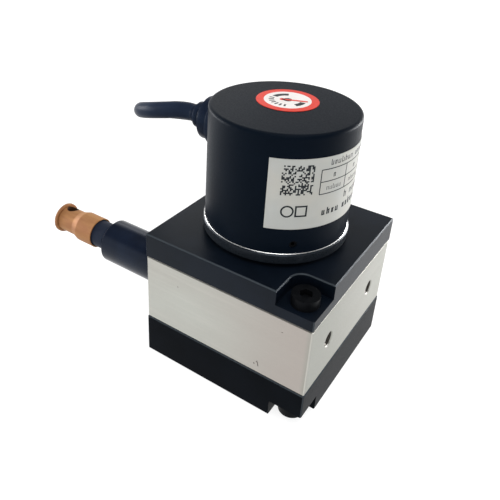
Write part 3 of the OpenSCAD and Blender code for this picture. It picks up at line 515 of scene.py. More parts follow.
def bronze_anodised():
    """Dyed aluminium, brown along the clip, darker on its flange, with painted shade in its
    cross hole.
    """
    made, tree, shader, place = surface(
        "turned aluminium, bronze anodised", "#ad7d4b", "#976640", spread_mm=2.6,
        grain_mm=0.25, bump_mm=0.004, rough=0.6, stretch=(0.22, 1.0, 1.0), Metallic=0.45)
    spot = add(tree, "ShaderNodeSeparateXYZ", _0=place.outputs["Object"])
    flange = add(tree, "ShaderNodeMapRange", Value=spot.outputs[0],
                 From_Min=clip_low.x + 0.9 * MM, From_Max=clip_low.x + 1.3 * MM,
                 To_Min=0.45, To_Max=0.0)
    tint_over(tree, shader, flange, "#7c4e34")
    # painted shade inside the cross hole
    inside = hole_mask(tree, place.outputs["Object"], clip_hole["pos_m"],
                       clip_hole["axis"], (clip_hole["dims"]["r_mm"] + 0.04) * MM)
    tint_over(tree, shader, inside, "#2c1a10", 0.9)
    return made


# %% [markdown]
# The draw wire is a steel rope less than a millimetre thick, laid from six strands.
# The strands are too fine to model, and the wire stretches out as it is pulled, so
# they are a bump that winds round the wire, with painted shade in the grooves between
# them: the angle round its middle, six times over, plus the way along it, sets where a
# strand's crown lies. Because the pattern hangs on object coordinates, it keeps its
# pitch however far the wire is drawn.

# %% Stranded wire
STRANDS = 6
STRAND_LAY = 5 * MM     # length in which a strand goes once round the wire


def stranded_wire():
    """Steel rope: bright crowns, and grooves darkened by painted shade, that wind round the
    wire.
    """
    made, tree, shader, place = surface(
        "stainless rope, six strands", "#9a9da0", "#85888b", 2, 0.2, 0.004, 0.3,
        Metallic=1.0)
    middle = span("draw_wire")[2]
    out = add(tree, "ShaderNodeVectorMath", {"operation": "SUBTRACT"},
              _0=place.outputs["Object"], _1=(0, middle.y, middle.z))
    spot = add(tree, "ShaderNodeSeparateXYZ", _0=out)
    angle = add(tree, "ShaderNodeMath", {"operation": "ARCTAN2"}, _0=spot.outputs[2],
                _1=spot.outputs[1])
    around = add(tree, "ShaderNodeMath", {"operation": "MULTIPLY"}, _0=angle, _1=STRANDS)
    wound = add(tree, "ShaderNodeMath", {"operation": "MULTIPLY_ADD"}, _0=spot.outputs[0],
                _1=math.tau * STRANDS / STRAND_LAY, _2=around)
    wave = add(tree, "ShaderNodeMath", {"operation": "SINE"}, _0=wound)
    crown = add(tree, "ShaderNodeMath", {"operation": "MULTIPLY_ADD"}, _0=wave, _1=0.5,
                _2=0.5)
    lift = add(tree, "ShaderNodeBump", Height=crown, Distance=0.08 * MM, Strength=1.0)
    tree.links.new(lift.outputs[0], shader.inputs["Normal"])
    # painted shade in the grooves between the strands
    groove = add(tree, "ShaderNodeMapRange", Value=crown, From_Max=0.35, To_Min=0.8,
                 To_Max=0.0)
    tint_over(tree, shader, groove, "#2b2c2e")
    return made


# %% [markdown]
# All the other finishes are one line each: the real material's name, the two colours that
# it wanders between, the spread of that wandering, the grain and its lift in millimetres,
# and the roughness. The real grain of a blasted, moulded or painted face is about
# 0.05 mm, too fine to show, so it is drawn at some tenths of a millimetre. Dark coats and
# plastics get a low specular level for the same reason as the black plates, and printed
# films one that is a little higher. Bare metals are fully metallic, and the code disc,
# which is metal on glass, only partly. The words over each finish say what it gives the
# eye.

# %% Dark finishes
def dark(name, colour, second, spread_mm, grain_mm, bump_mm, rough, level):
    """A dark moulding, coat or rubber."""
    return surface(name, colour, second, spread_mm, grain_mm, bump_mm, rough,
                   Metallic=0.0, IOR=1.5, Specular_IOR_Level=level,
                   Specular_Tint=linear(COOL_SHEEN))[0]


finishes = {
    # nearly black, with one wide soft sheen on the top and down the round side
    "cap": dark("steel cap, satin black paint", "#030b15", "#050e19", 20, 0.4, 0.0005, 0.42,
                0.055),
    # a sooty black that lets the screws sink into their pockets
    "black_oxide": dark("steel, black oxide", "#0b0c0e", "#111214", 3, 0.3, 0.005, 0.34,
                        0.06),
    # a dull blue black with no light on its edges
    "rubber": dark("nitrile rubber", "#1c2230", "#202736", 4, 0.3, 0.006, 0.5, 0.1),
    # the same blue black with a thin light on each rim
    "moulded": dark("glass filled nylon, moulded", "#141b29", "#192232", 5, 0.25, 0.003,
                    0.3, 0.05),
    # navy rather than black, with an even soft gloss
    "jacket": dark("PVC cable jacket", "#1b2333", "#202939", 6, 0.35, 0.004, 0.34, 0.02),
    # flat grey black blocks on the green board
    "chip": dark("moulded epoxy", "#17181a", "#202124", 3, 0.2, 0.006, 0.5, 0.4),
    # dull black print on the sticker
    "sticker_ink": dark("vinyl film, black", "#1b1c1e", "#232426", 3, 0.4, 0.001, 0.4, 0.2),
    # print that is a little greyer than black, as on a thermal label
    "ink": dark("label ink", "#26282a", "#303234", 2, 0.2, 0.001, 0.5, 0.2),
    # brown grey specks on the pale band: dirt, and the painted shade of small dents
    "scratch": dark("dirt and painted shade in a small dent", "#5d5753", "#6d6762", 1, 0.2, 0.004, 0.6, 0.2),
}
print("dark finishes", len(finishes))

# %% Metal finishes
def metal(name, colour, second, spread_mm, grain_mm, bump_mm, rough, metallic=1.0):
    """A bare or plated metal."""
    return surface(name, colour, second, spread_mm, grain_mm, bump_mm, rough,
                   Metallic=metallic)[0]


finishes.update({
    # plain grey with blurred reflections
    "steel": metal("ground steel", "#a8aaac", "#b9babb", 4, 0.25, 0.003, 0.3),
    # a strip that wanders between blue and brown
    "spring": metal("blued spring strip", "#4c5563", "#5d5a66", 6, 0.3, 0.003, 0.28),
    # the sharpest mirror on the part
    "bearing": metal("polished bearing steel", "#c9cbcd", "#d4d5d6", 5, 0.4, 0.002, 0.16),
    # pale grey, softer than steel
    "turned": metal("turned aluminium", "#b3b5b7", "#c0c1c2", 5, 0.3, 0.004, 0.34),
    # a thin white line under the cap
    "bright": metal("diamond turned aluminium", "#f4f4f2", "#fbfbfa", 4, 0.5, 0.001, 0.3),
    # brown grey crests, painted dark as the shade in the holes, that glint there
    "thread": metal("tapped aluminium, painted hole shade", "#4a4743", "#35322f", 1.2, 0.2, 0.01,
                    0.3),
    # warm yellow among the greys
    "brass": metal("turned brass", "#b08d45", "#c19e55", 4, 0.3, 0.004, 0.3),
    # dark glassy metal
    "disc": metal("etched code disc", "#5a626a", "#6a727a", 5, 0.4, 0.002, 0.2, 0.6),
    # dull silver with the ridges of its fine strands
    "tin": metal("tinned copper strand", "#a9a59c", "#b9b6ae", 1, 0.12, 0.02, 0.35),
})
print("with the metals", len(finishes))

# %% Pale and printed finishes
FILM = {"IOR": 1.5, "Specular_IOR_Level": 0.25}
finishes.update({
    # ivory white, slightly waxy
    "polymer": surface("white acetal", "#d8d3c2", "#e2ddcf", 4, 0.4, 0.004, 0.42,
                       IOR=1.48)[0],
    # grey brown and quite without gloss
    "felt": surface("wool felt", "#8f8a7c", "#a29d8e", 1.5, 0.25, 0.08, 0.9,
                    IOR=1.45)[0],
    # deep green with a thin gloss
    "board": surface("glass laminate, solder mask", "#1f5a32", "#256638", 5, 0.6, 0.005,
                     0.34, IOR=1.55)[0],
    # silver grey paper tone, matt enough to read
    "film": surface("polyester label film", "#bfc1bd", "#c4c3bc", 7, 0.3, 0.002, 0.42,
                    **FILM)[0],
    # signal red with a soft gloss
    "sticker_red": surface("vinyl film, red", "#db2a05", "#d42603", 4, 0.4, 0.002, 0.36,
                           **FILM)[0],
    # warm white beside the red
    "sticker_white": surface("vinyl film, white", "#e6e2dd", "#ece8e4", 4, 0.4, 0.002, 0.36,
                             **FILM)[0],
    "aluminium": bare_aluminium(),
    "bronze": bronze_anodised(),
    "strand": stranded_wire(),
    # turned and so smoother than the plates: a light stripe along the tube's upper side
    "black_round": black_anodised("black anodised aluminium, turned", colour="#0e1421",
                                  second="#131b2b", level=0.16, rough=0.2),
    # turned and bare of blasting, the glossiest of the black pieces
    "black_flange": black_anodised("black anodised aluminium, flange", colour="#14181d",
                                   second="#1b2026", level=0.3, rough=0.3),
    # blue black with thin pale lines on its edges: painted highlight, with a little wear
    "black_top": black_anodised("black anodised aluminium, top plate", "top_plate"),
    # painted shade: the same dye as the top plate, painted darkest of all since it sees
    # little but the floor
    "black_base": black_anodised("black anodised aluminium, base plate", "base_plate",
                                 colour="#04070c", second="#070b11", level=0.02),
})
core_colours = {"red": "#a8201c", "white": "#d9d6cc", "green": "#1d6b3a",
                "black": "#1a1a1c"}
# plain bright colours with a soft moulded gloss, so that the cores can be told apart
for core, colour in core_colours.items():
    finishes["core_" + core] = surface("core insulation, " + core, colour, colour, 2, 0.3,
                                       0.003, 0.38, IOR=1.5)[0]
print("finishes", len(finishes))

# %% [markdown]
# Each solid of the model keeps its shape and gets the finish of the real piece. A table
# of names says which, so that none can be forgotten: the last line prints those that
# have no finish, and it should be an empty list.

# %% Finish of each solid
node_finish = {
    "base_plate": "black_base", "drum_housing": "aluminium", "top_plate": "black_top",
    "top_screws": "black_oxide", "base_screws": "black_oxide", "spring_cover": "steel",
    "power_spring": "spring", "spring_arbor": "steel", "drum": "turned",
    "wound_wire": "strand", "drum_shaft": "steel", "drum_set_screws": "black_oxide",
    "bearing_outer_rings": "bearing", "bearing_inner_rings": "bearing",
    "bearing_balls": "bearing", "wire_outlet": "black_round", "outlet_eyelet": "polymer",
    "outlet_wiper": "felt", "draw_wire": "strand", "wire_bumper": "rubber",
    "wire_ferrule": "steel", "wire_clip": "bronze", "encoder_flange": "black_flange",
    "encoder_screws": "steel", "bearing_spacer": "turned", "encoder_shaft": "steel",
    "retaining_ring": "spring", "code_disc": "disc", "disc_hub": "brass",
    "lamp_holder": "moulded", "circuit_board": "board", "board_parts": "chip",
    "board_pillars": "brass", "board_screws": "steel", "cap_seal": "rubber",
    "encoder_cap": "cap", "cap_screws": "black_oxide", "cable_gland": "moulded",
    "gland_nut": "steel", "inner_cable": "jacket", "side_label": "film",
    "top_sticker": "sticker_red", "cable_tube": "jacket", "cable_coil": "jacket",
    "coil_tie": "moulded", "cable_leads": "core_red",
}
for node, finish in node_finish.items():
    mesh = nodes[node].data
    mesh.materials.clear()
    mesh.materials.append(finishes[finish])
missing = sorted(set(nodes) - set(node_finish))
print("solids without a finish", missing)

# %% [markdown]
# ## The cable, its cores and its tie
#
# The cable is put on the housing and stands for the solid tube and coil. Its far end is
# bare: the jacket is cut back and four coloured cores come out of it, each with a few
# millimetres of tinned strand. So little shows of them that each is spun as a small
# stepped pin, where a twisted bundle of copper would only cost faces.

# %% Cable and cores on the housing
jacket_curve.materials.append(finishes["jacket"])
put(cable, "housing", "cable_jacket", "cable_tube", "cable_coil")
CORE_R = 0.6 * MM
CORE_L = 6 * MM
CORE_ROUND = 0.2 * MM
CORE_STEP = 1.25 * MM
STRAND_R = 0.34 * MM
STRAND_L = 3 * MM


def stepped_pin(profile, matrix, steps=16):
    """A pin spun from (radius, height) points, standing along local +Z."""
    shape = lathe([(0, profile[0][1])] + profile + [(0, profile[-1][1])], steps=steps)
    bmesh.ops.transform(shape, matrix=matrix, verts=shape.verts)
    return shape


cores = []
for i, name in enumerate(core_colours):
    side = (i - (len(core_colours) - 1) / 2) * CORE_STEP
    lie = (tail_frame @ Matrix.Translation((0, TAIL_BEND + side, 0))
           @ Matrix.Rotation(math.radians(-90), 4, "Y"))
    insulation = stepped_pin([(CORE_R * 0.9, 0), (CORE_R, CORE_ROUND),
                              (CORE_R, CORE_L - CORE_ROUND), (CORE_R * 0.85, CORE_L)], lie)
    piece = finish_mesh("core_" + name, insulation, finishes["core_" + name])
    strand = stepped_pin([(STRAND_R, CORE_L - 0.1 * MM), (STRAND_R, CORE_L + STRAND_L * 0.8),
                          (STRAND_R * 0.5, CORE_L + STRAND_L)], lie)
    tip = finish_mesh("strand_" + name, strand, finishes["tin"])
    put(piece, "housing", "lead_insulation", "cable_leads")
    put(tip, "housing", "stranded_steel", "cable_leads")
    cores += [piece, tip]
print("pieces at the bare end", len(cores))

# %% [markdown]
# The strap that holds the coil is a flat nylon band with a small head. It is extruded
# from an outline with rounded corners and then given a wall, which keeps it equally
# thick all round, and its head is a small bevelled block. Both are pieces on the cable.

# %% Tie round the coil
tie_low, tie_high, tie_middle = span("coil_tie")
TIE_T = 0.6 * MM
TIE_CORNER = 1.4 * MM
ARC_STEPS = 6           # steps in each rounded corner
HEAD_SIZE = Vector((6, 4.2, 3)) * MM
HEAD_LIFT = 1.2 * MM
outline = []
for quarter, (sy, sz) in zip((0, 90, 180, 270), ((1, 1), (-1, 1), (-1, -1), (1, -1))):
    cy = tie_middle.y + sy * ((tie_high.y - tie_low.y) / 2 - TIE_CORNER)
    cz = tie_middle.z + sz * ((tie_high.z - tie_low.z) / 2 - TIE_CORNER)
    for step in range(ARC_STEPS + 1):
        turn = math.radians(quarter + 90 / ARC_STEPS * step)
        outline.append((cy + TIE_CORNER * math.cos(turn), cz + TIE_CORNER * math.sin(turn)))
strap = bmesh.new()
ring = [strap.verts.new((tie_low.x, y, z)) for y, z in outline]
rim = [strap.edges.new((a, b)) for a, b in zip(ring, ring[1:] + ring[:1])]
made = bmesh.ops.extrude_edge_only(strap, edges=rim)
far = [item for item in made["geom"] if isinstance(item, bmesh.types.BMVert)]
bmesh.ops.translate(strap, verts=far, vec=(tie_high.x - tie_low.x, 0, 0))
bmesh.ops.recalc_face_normals(strap, faces=strap.faces)
bmesh.ops.solidify(strap, geom=strap.faces[:], thickness=TIE_T)
tie = finish_mesh("cable_tie", strap, finishes["moulded"])
put(tie, "housing", "black_plastic", "coil_tie")

head = bmesh.new()
bmesh.ops.create_cube(head, size=1)
bmesh.ops.scale(head, vec=HEAD_SIZE, verts=head.verts)
bmesh.ops.bevel(head, geom=head.edges[:], offset=0.5 * MM, affect="EDGES", segments=3,
                profile=0.5, material=-1)
bmesh.ops.translate(head, vec=(tie_middle.x, tie_middle.y, tie_high.z + HEAD_LIFT),
                    verts=head.verts)
tie_head = finish_mesh("tie_head", head, finishes["moulded"])
put(tie_head, "housing", "black_plastic")
print("tie is", round((tie_high.x - tie_low.x) / MM, 1), "mm wide")

# %% [markdown]
# ## The cable gland
#
# The gland is a black nylon moulding: a round seat that lies flat on the cap, a collar,
# and two thin rings that grip the cable, with a soft sleeve at the very end that is
# hardly thicker than the cable. The solid keeps that outline in a few plain steps. Here
# they are spun once more with grooves between them and a small round on every rim,
# because it is the thin lights on those rims that let the eye tell one step from the
# next. Rounds that are part of the outline need no bevel afterwards.

# %% Cable gland piece
_, gland_high, gland_middle = span("cable_gland")
GLAND_BORE = CABLE_D / 2 - 0.02 * MM        # just within the cable, so that no gap shows
RIM = 0.16              # round on each rim, in mm
RIM_CORNER = 0.3 * RIM
gland_steps = (         # from, to along the gland's axis, and radius, in mm
    (17.3, 19.6, 7.1), (19.7, 22.9, 5.9), (23.35, 24.3, 4.0), (24.6, 26.1, 3.6),
    (26.3, 27.75, 2.52))
GROOVE_R = (5.4, 3.3, 3.3, 2.6)             # radius in the groove after each step
gland_outline = [(GLAND_BORE, -gland_high.x), (GROOVE_R[0] * MM, -gland_high.x)]
for i, (start, stop, radius) in enumerate(gland_steps):
    gland_outline += [(r * MM, h * MM) for r, h in (
        (radius - RIM, start), (radius - RIM_CORNER, start + RIM_CORNER),
        (radius, start + RIM), (radius, stop - RIM),
        (radius - RIM_CORNER, stop - RIM_CORNER), (radius - RIM, stop))]
    if i < len(GROOVE_R):
        gland_outline += [(GROOVE_R[i] * MM, stop * MM),
                          (GROOVE_R[i] * MM, gland_steps[i + 1][0] * MM)]
gland_outline.append((GLAND_BORE, gland_steps[-1][1] * MM))
moulding = lathe(gland_outline, "-X", (0, gland_middle.y, gland_middle.z), steps=96)
gland = finish_mesh("gland_moulding", moulding, finishes["moulded"])
put(gland, "housing", "black_plastic", "cable_gland")
print("gland steps", len(gland_steps))

# %% [markdown]
# ## The draw wire
#
# When the clip is pulled, a metre of wire leaves the drum. The piece is one long thin
# tube with a ring of points every millimetre or so.

# %% Draw wire piece
wire_low, wire_high, wire_middle = span("draw_wire")
WIRE_R = (wire_high.z - wire_low.z) / 2
WIRE_RINGS = 64
wire_length = wire_high.x - wire_low.x
wire_outline = [(0, 0)]
wire_outline += [(WIRE_R, wire_length * i / WIRE_RINGS) for i in range(WIRE_RINGS + 1)]
wire_outline += [(0, wire_length)]
rope = lathe(wire_outline, "-X", (wire_high.x, wire_middle.y, wire_middle.z), steps=16)
wire = finish_mesh("drawn_wire", rope, finishes["strand"])
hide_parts("draw_wire")
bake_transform(wire)
print("draw wire at rest", round(wire_length / MM, 1), "mm")

# %% [markdown]
# ## Bright cut on the encoder's flange
#
# The flange was dyed black first, and its upper edge was cut afterwards with a diamond
# tool, which leaves a bright narrow cone all round. A mask in the flange's finish would
# blur its edges, so it is spun as a thin ring that lies on the flange's chamfer, right
# under the cap.

# %% Bright cut
cap_low, cap_high, _ = span("encoder_cap")
CHAMFER = span("encoder_flange")[1].x - cap_high.x
CUT_SHARE = 0.25        # share of the chamfer that is bright
CUT_LIFT = 0.03 * MM
CUT_T = 0.06 * MM
cut_top = Vector((cap_high.x + CUT_LIFT, cap_low.z + CUT_LIFT))
cut_foot = Vector((cap_high.x + CHAMFER * CUT_SHARE + CUT_LIFT,
                   cap_low.z - CHAMFER * CUT_SHARE + CUT_LIFT))
inward = Vector((-CUT_T, -CUT_T))
cut = lathe([tuple(cut_top), tuple(cut_foot), tuple(cut_foot + inward),
             tuple(cut_top + inward)], steps=240)
bright_cut = finish_mesh("flange_bright_cut", cut, finishes["bright"])
put(bright_cut, "housing", "bare_aluminium")
print("bright cut is", round(CHAMFER * CUT_SHARE * math.sqrt(2) / MM, 2), "mm wide")

# %% [markdown]
# ## Print on the label and the sticker
#
# An image would be quick but blurs when seen close, so print is made of real shapes. It
# is drawn flat, in millimetres, from bars and arcs, and then laid on its place. For the
# side label the flat sheet is rolled round the cap: the way along the sheet becomes an
# angle. A bar that is to be rolled is cut into short cells first, so that it can bend.
# Last of all each flat shape gets a thin wall, so that it is a closed film.

# %% Flat print
def flat_bar(shape, x, y, width, height, turn=0.0, cells=1):
    """A flat bar about (x, y), in mm, turned by some degrees."""
    lie = (Matrix.Translation((x, y, 0)) @ Matrix.Rotation(math.radians(turn), 4, "Z")
           @ Matrix.Diagonal((width, height, 1, 1)))
    bmesh.ops.create_grid(shape, x_segments=cells, y_segments=1, size=0.5, matrix=lie)


def flat_arc(shape, x, y, inner, outer, start=0.0, sweep=360.0, steps=36):
    """A flat ring or a part of one about (x, y), spun from a short radial edge."""
    lie = Matrix.Translation((x, y, 0)) @ Matrix.Rotation(math.radians(start), 4, "Z")
    ends = [shape.verts.new(lie @ Vector((radius, 0, 0))) for radius in (inner, outer)]
    edge = shape.edges.new(ends)
    bmesh.ops.spin(shape, geom=ends + [edge], cent=(x, y, 0), axis=(0, 0, 1),
                   angle=math.radians(sweep), steps=steps, use_merge=sweep == 360,
                   use_duplicate=False)


def face_up(shape):
    """Turns every flat face so that it looks up, before it is laid in its place."""
    shape.normal_update()
    down = [face for face in shape.faces if face.normal.z < 0]
    bmesh.ops.reverse_faces(shape, faces=down)


def rolled(shape, radius):
    """Rolls a flat print, in mm, round the cap at this radius in metres."""
    face_up(shape)
    for point in shape.verts:
        turn = point.co.x * MM / radius
        point.co = Vector((radius * math.cos(turn), radius * math.sin(turn),
                           point.co.y * MM))
    return shape


def filmed(name, shape, thickness, finish, slot, *replaced):
    """Gives a laid print its thickness and puts it on the housing."""
    shape.normal_update()
    bmesh.ops.solidify(shape, geom=shape.faces[:], thickness=thickness)
    return put(finish_mesh(name, shape, finishes[finish]), "housing", slot, *replaced)


# %% [markdown]
# The side label is a rolled sheet whose ends come from the solid's box. Its print is
# generic: a block of random cells where a label of this kind has its code, two plain
# marks under it, a ruled table, and short bars that stand for lines of small text
# without spelling anything. Places on the sheet are given as an angle in degrees, from
# the side with the mounting holes, and a height in millimetres above the floor.

# %% Side label
label_low, label_high, label_middle = span("side_label")
LABEL_R = cap_high.x + 0.15 * MM
INK_R = LABEL_R + 0.015 * MM        # the ink stands on the film
LABEL_T = 0.13 * MM
INK_T = 0.03 * MM


def along(degrees):
    """How far along the flat label an angle lies, in mm."""
    return math.radians(degrees) * LABEL_R / MM


label_from = math.degrees(math.asin(label_low.y / LABEL_R))
label_to = math.degrees(math.asin(label_high.y / LABEL_R))
sheet = bmesh.new()
flat_bar(sheet, (along(label_from) + along(label_to)) / 2, label_middle.z / MM,
         along(label_to) - along(label_from), (label_high.z - label_low.z) / MM, cells=96)
label = filmed("side_label_film", rolled(sheet, LABEL_R), LABEL_T, "film", "label_film",
               "side_label")
print("label from", round(label_from, 1), "to", round(label_to, 1), "degrees")

# %% Block of random cells and two marks
random.seed(11)
CODE_CELLS = 21
CODE_FROM, CODE_TO = -61.3, -38.5       # degrees
CODE_LOW, CODE_HIGH = 60.2, 67.8        # mm above the floor
CELL_GROWTH = 1.02      # cells grow into each other, so that no seam shows
cell_w = (along(CODE_TO) - along(CODE_FROM)) / CODE_CELLS
cell_h = (CODE_HIGH - CODE_LOW) / CODE_CELLS
ink = bmesh.new()
for row in range(CODE_CELLS):
    for column in range(CODE_CELLS):
        if random.random() < 0.5:
            flat_bar(ink, along(CODE_FROM) + (column + 0.5) * cell_w,
                     CODE_LOW + (row + 0.5) * cell_h, cell_w * CELL_GROWTH,
                     cell_h * CELL_GROWTH)
print("dark cells", len(ink.faces), "of", CODE_CELLS ** 2)

MARK_STROKE = 0.42
MARK_HALF = 1.5
RING_R = 1.6
MARK_HEIGHT = 55.9
ring_at, square_at = along(-55.2), along(-45.3)
flat_arc(ink, ring_at, MARK_HEIGHT, RING_R - MARK_STROKE, RING_R)
for side in (-1, 1):
    reach = side * (MARK_HALF - MARK_STROKE / 2)
    flat_bar(ink, square_at, MARK_HEIGHT + reach, 2 * MARK_HALF, MARK_STROKE, cells=6)
    flat_bar(ink, square_at + reach, MARK_HEIGHT, MARK_STROKE,
             2 * (MARK_HALF - MARK_STROKE))

# %% Ruled table
TABLE_ROWS = ((66.2, 0.24), (63.05, 0.22), (59.85, 0.24))      # height and stroke, in mm
TABLE_COLUMNS = (-33, -9.4, 14, 37, 58)                        # degrees


def ruled(first, last, height, stroke):
    """A line of the table, from one angle to another."""
    flat_bar(ink, (along(first) + along(last)) / 2, height, along(last) - along(first),
             stroke, cells=max(1, round((last - first) / 2)))


def upright(angle, low, high, stroke=0.24):
    """An upright line of the table."""
    flat_bar(ink, along(angle), (low + high) / 2, stroke, high - low)


for height, stroke in TABLE_ROWS:
    ruled(TABLE_COLUMNS[0], TABLE_COLUMNS[-1], height, stroke)
for angle in TABLE_COLUMNS:
    upright(angle, TABLE_ROWS[-1][0], TABLE_ROWS[0][0])

# %% Lines that stand for small text
def greeked(first, last, height, tall, weight=1.0):
    """Small blocks that stand for a line of text and spell nothing."""
    place = along(first)
    stroke = 0.16 * tall * weight
    while place < along(last):
        width = random.uniform(0.42, 0.62) * tall
        rise = random.choice((0.7, 0.7, 0.7, 1.0)) * tall
        if random.random() < 0.9:
            flat_bar(ink, place + stroke / 2, height + rise / 2, stroke, rise)
            flat_bar(ink, place + width / 2, height + random.choice((0.08, 0.62)) * tall,
                     width * 0.8, stroke * 0.8)
            flat_bar(ink, place + width - stroke, height + 0.35 * tall, stroke, 0.7 * tall)
        place += width + 0.22 * tall


# from and to in degrees, height and letter height in mm, weight
greeked(-26, 44, 67.1, 1.5, 0.8)
for first, last in ((-29, -12), (-8, 12), (16, 50)):
    greeked(first, last, 54.0, 1.9, 1.25)
greeked(-7.5, 30, 56.9, 1.9, 0.9)
for first in (-22.5, 1, 24, 46):
    greeked(first, first + 3, 63.9, 1.5, 0.8)
    greeked(first - 5, first + 8, 60.75, 1.3, 0.55)
label_ink = filmed("side_label_print", rolled(ink, INK_R), INK_T, "ink", "label_film")
print("faces of print", len(label_ink.data.polygons))

# %% [markdown]
# The sticker on top is a red disc with a white face. On the face is a plain dial: dark
# scale arcs, a few ticks and a red pointer on a dark hub. Each colour is its own thin
# film, a few hundredths of a millimetre above the last, as a real screen print is.

# %% Sticker on the cap
sticker_low, sticker_high, sticker_middle = span("top_sticker")
STICKER_R = (sticker_high.x - sticker_low.x) / 2
FACE_R = STICKER_R - 1.95 * MM
STICKER_TURN = 33       # degrees
BACKING_TOP = sticker_high.z - 0.05 * MM
backing = lathe([(0, sticker_low.z), (STICKER_R, sticker_low.z),
                 (STICKER_R, BACKING_TOP - 0.03 * MM),
                 (STICKER_R - 0.04 * MM, BACKING_TOP), (0, BACKING_TOP)],
                centre=(sticker_middle.x, sticker_middle.y, 0), steps=96)
sticker = finish_mesh("sticker_red_disc", backing, finishes["sticker_red"])
put(sticker, "housing", "sticker_film", "top_sticker")
print("sticker is", round(2 * STICKER_R / MM, 1), "mm across")


def laid(shape, height):
    """Lays a flat print, in mm, on the cap's top at this height in metres."""
    face_up(shape)
    lie = (Matrix.Translation((sticker_middle.x, sticker_middle.y, height))
           @ Matrix.Rotation(math.radians(STICKER_TURN), 4, "Z")
           @ Matrix.Diagonal((MM, MM, 1, 1)))
    bmesh.ops.transform(shape, matrix=lie, verts=shape.verts)
    return shape


face = bmesh.new()
bmesh.ops.create_circle(face, cap_ends=True, segments=96, radius=FACE_R / MM)
filmed("sticker_face", laid(face, sticker_high.z - 0.035 * MM), 0.03 * MM, "sticker_white",
       "sticker_film")

# %% Dial and pointer
TICKS = range(160, 257, 16)         # degrees
TICK_R = 4.1                        # mm, as all sizes of flat print
dial = bmesh.new()
flat_arc(dial, 0, 0, 3.1, 4.5, start=82, sweep=62, steps=10)
flat_arc(dial, 0, 0, 3.3, 4.7, start=-66, sweep=42, steps=8)
for turn in TICKS:
    spot = Vector((math.cos(math.radians(turn)), math.sin(math.radians(turn)))) * TICK_R
    flat_bar(dial, spot.x, spot.y, 1.3, 0.5, turn)
bmesh.ops.create_circle(dial, cap_ends=True, segments=24, radius=1.15)
filmed("sticker_dial", laid(dial, sticker_high.z - 0.018 * MM), 0.02 * MM, "sticker_ink",
       "sticker_film")

pointer = bmesh.new()
flat_bar(pointer, 1.8, -0.35, 6.4, 0.85, -11)
bmesh.ops.create_circle(pointer, cap_ends=True, segments=20, radius=0.7,
                        matrix=Matrix.Translation((-1.3, 0.25, 0)))
filmed("sticker_pointer", laid(pointer, sticker_high.z - 0.002 * MM), 0.02 * MM,
       "sticker_red", "sticker_film")
print("ticks on the dial", len(TICKS))

# %% [markdown]
# ## Threads and small dents
#
# The two mounting holes in the side are tapped. The solid has plain bores, so the
# crests of the thread are spun as a saw toothed sleeve that lines each bore. Real
# crests climb as a helix, but at this size level rings look the same and close neatly.

# %% Threads of the mounting holes
PITCH = 0.7 * MM
CREST_R = SIDE_HOLE_R - 0.3 * MM
ROOT_R = SIDE_HOLE_R - 0.06 * MM
LINING_R = SIDE_HOLE_R - 0.005 * MM      # the sleeve's back, just clear of the bore's wall
LEAD_IN = 0.45 * MM
TEETH = 10
saw = [(LINING_R, LEAD_IN)]
for tooth in range(TEETH):
    start = LEAD_IN + tooth * PITCH
    saw += [(ROOT_R, start), (CREST_R, start + 0.42 * PITCH), (CREST_R, start + 0.58 * PITCH)]
saw += [(ROOT_R, LEAD_IN + TEETH * PITCH), (LINING_R, LEAD_IN + TEETH * PITCH)]
for side, name in ((-1, "front"), (1, "back")):
    sleeve = lathe(saw, "-X", (hole_x, hole_y + side * HALF_STEP, hole_z), steps=48)
    thread = finish_mesh("thread_" + name, sleeve, finishes["thread"], smooth_angle=25)
    put(thread, "housing", "bare_aluminium")
print("thread pitch", round(PITCH / MM, 2), "mm")

# %% [markdown]
# A part that has been handled has a few small dents and specks on its pale front face.
# Real ones go into the metal and show by their shade, but the solid's mesh stays as it is,
# so each is a thin dark sliver that lies on the face: painted shade, with the dirt in
# the dent. At this size the eye can't tell the difference.

# %% Small dents in the front face
DENTS = (           # along, up, width, height in mm, and turn in degrees
    (11.5, 15.2, 0.28, 1.3, 12), (11.15, 15.9, 0.24, 0.7, -28), (10.4, 14.95, 0.3, 0.5, 20),
    (-14.2, 27.4, 0.22, 0.4, 35), (17.3, 28.9, 0.5, 0.16, 8))
dents = bmesh.new()
for dent in DENTS:
    flat_bar(dents, *dent)
face_up(dents)
stand = (Matrix.Translation((0, housing_low.y - 0.012 * MM, 0))
         @ Matrix.Rotation(math.radians(90), 4, "X") @ Matrix.Scale(MM, 4))
bmesh.ops.transform(dents, matrix=stand, verts=dents.verts)
dents.normal_update()
bmesh.ops.solidify(dents, geom=dents.faces[:], thickness=0.02 * MM)
marks = finish_mesh("small_dents", dents, finishes["scratch"])
put(marks, "housing", "bare_aluminium")
print("small dents", len(DENTS))

# %% [markdown]
# ## Floor, sky and light
#
# The instrument stands on a plain white sheet that runs out of sight. The camera, and
# whatever metal mirrors, see it as white with a faint shadow, and far away it is as
# white as the sky, so that no line shows where they meet. The light that falls on
# the instrument from the sheet is that of pale paper. The sky is white near the
# horizon and fades overhead, as in a room whose walls are lit and whose ceiling isn't:
# that gives the cap's top a soft sheen and keeps the plates' tops dark.

# %% Floor
def seen(tree):
    """1 for light that the eye gets straight, off metal or through glass, otherwise 0."""
    ray = add(tree, "ShaderNodeLightPath")
    eye = ray.outputs["Is Camera Ray"]
    for kind in ("Is Glossy Ray", "Is Transmission Ray"):
        eye = add(tree, "ShaderNodeMath", {"operation": "MAXIMUM"}, _0=eye,
                  _1=ray.outputs[kind])
    return eye


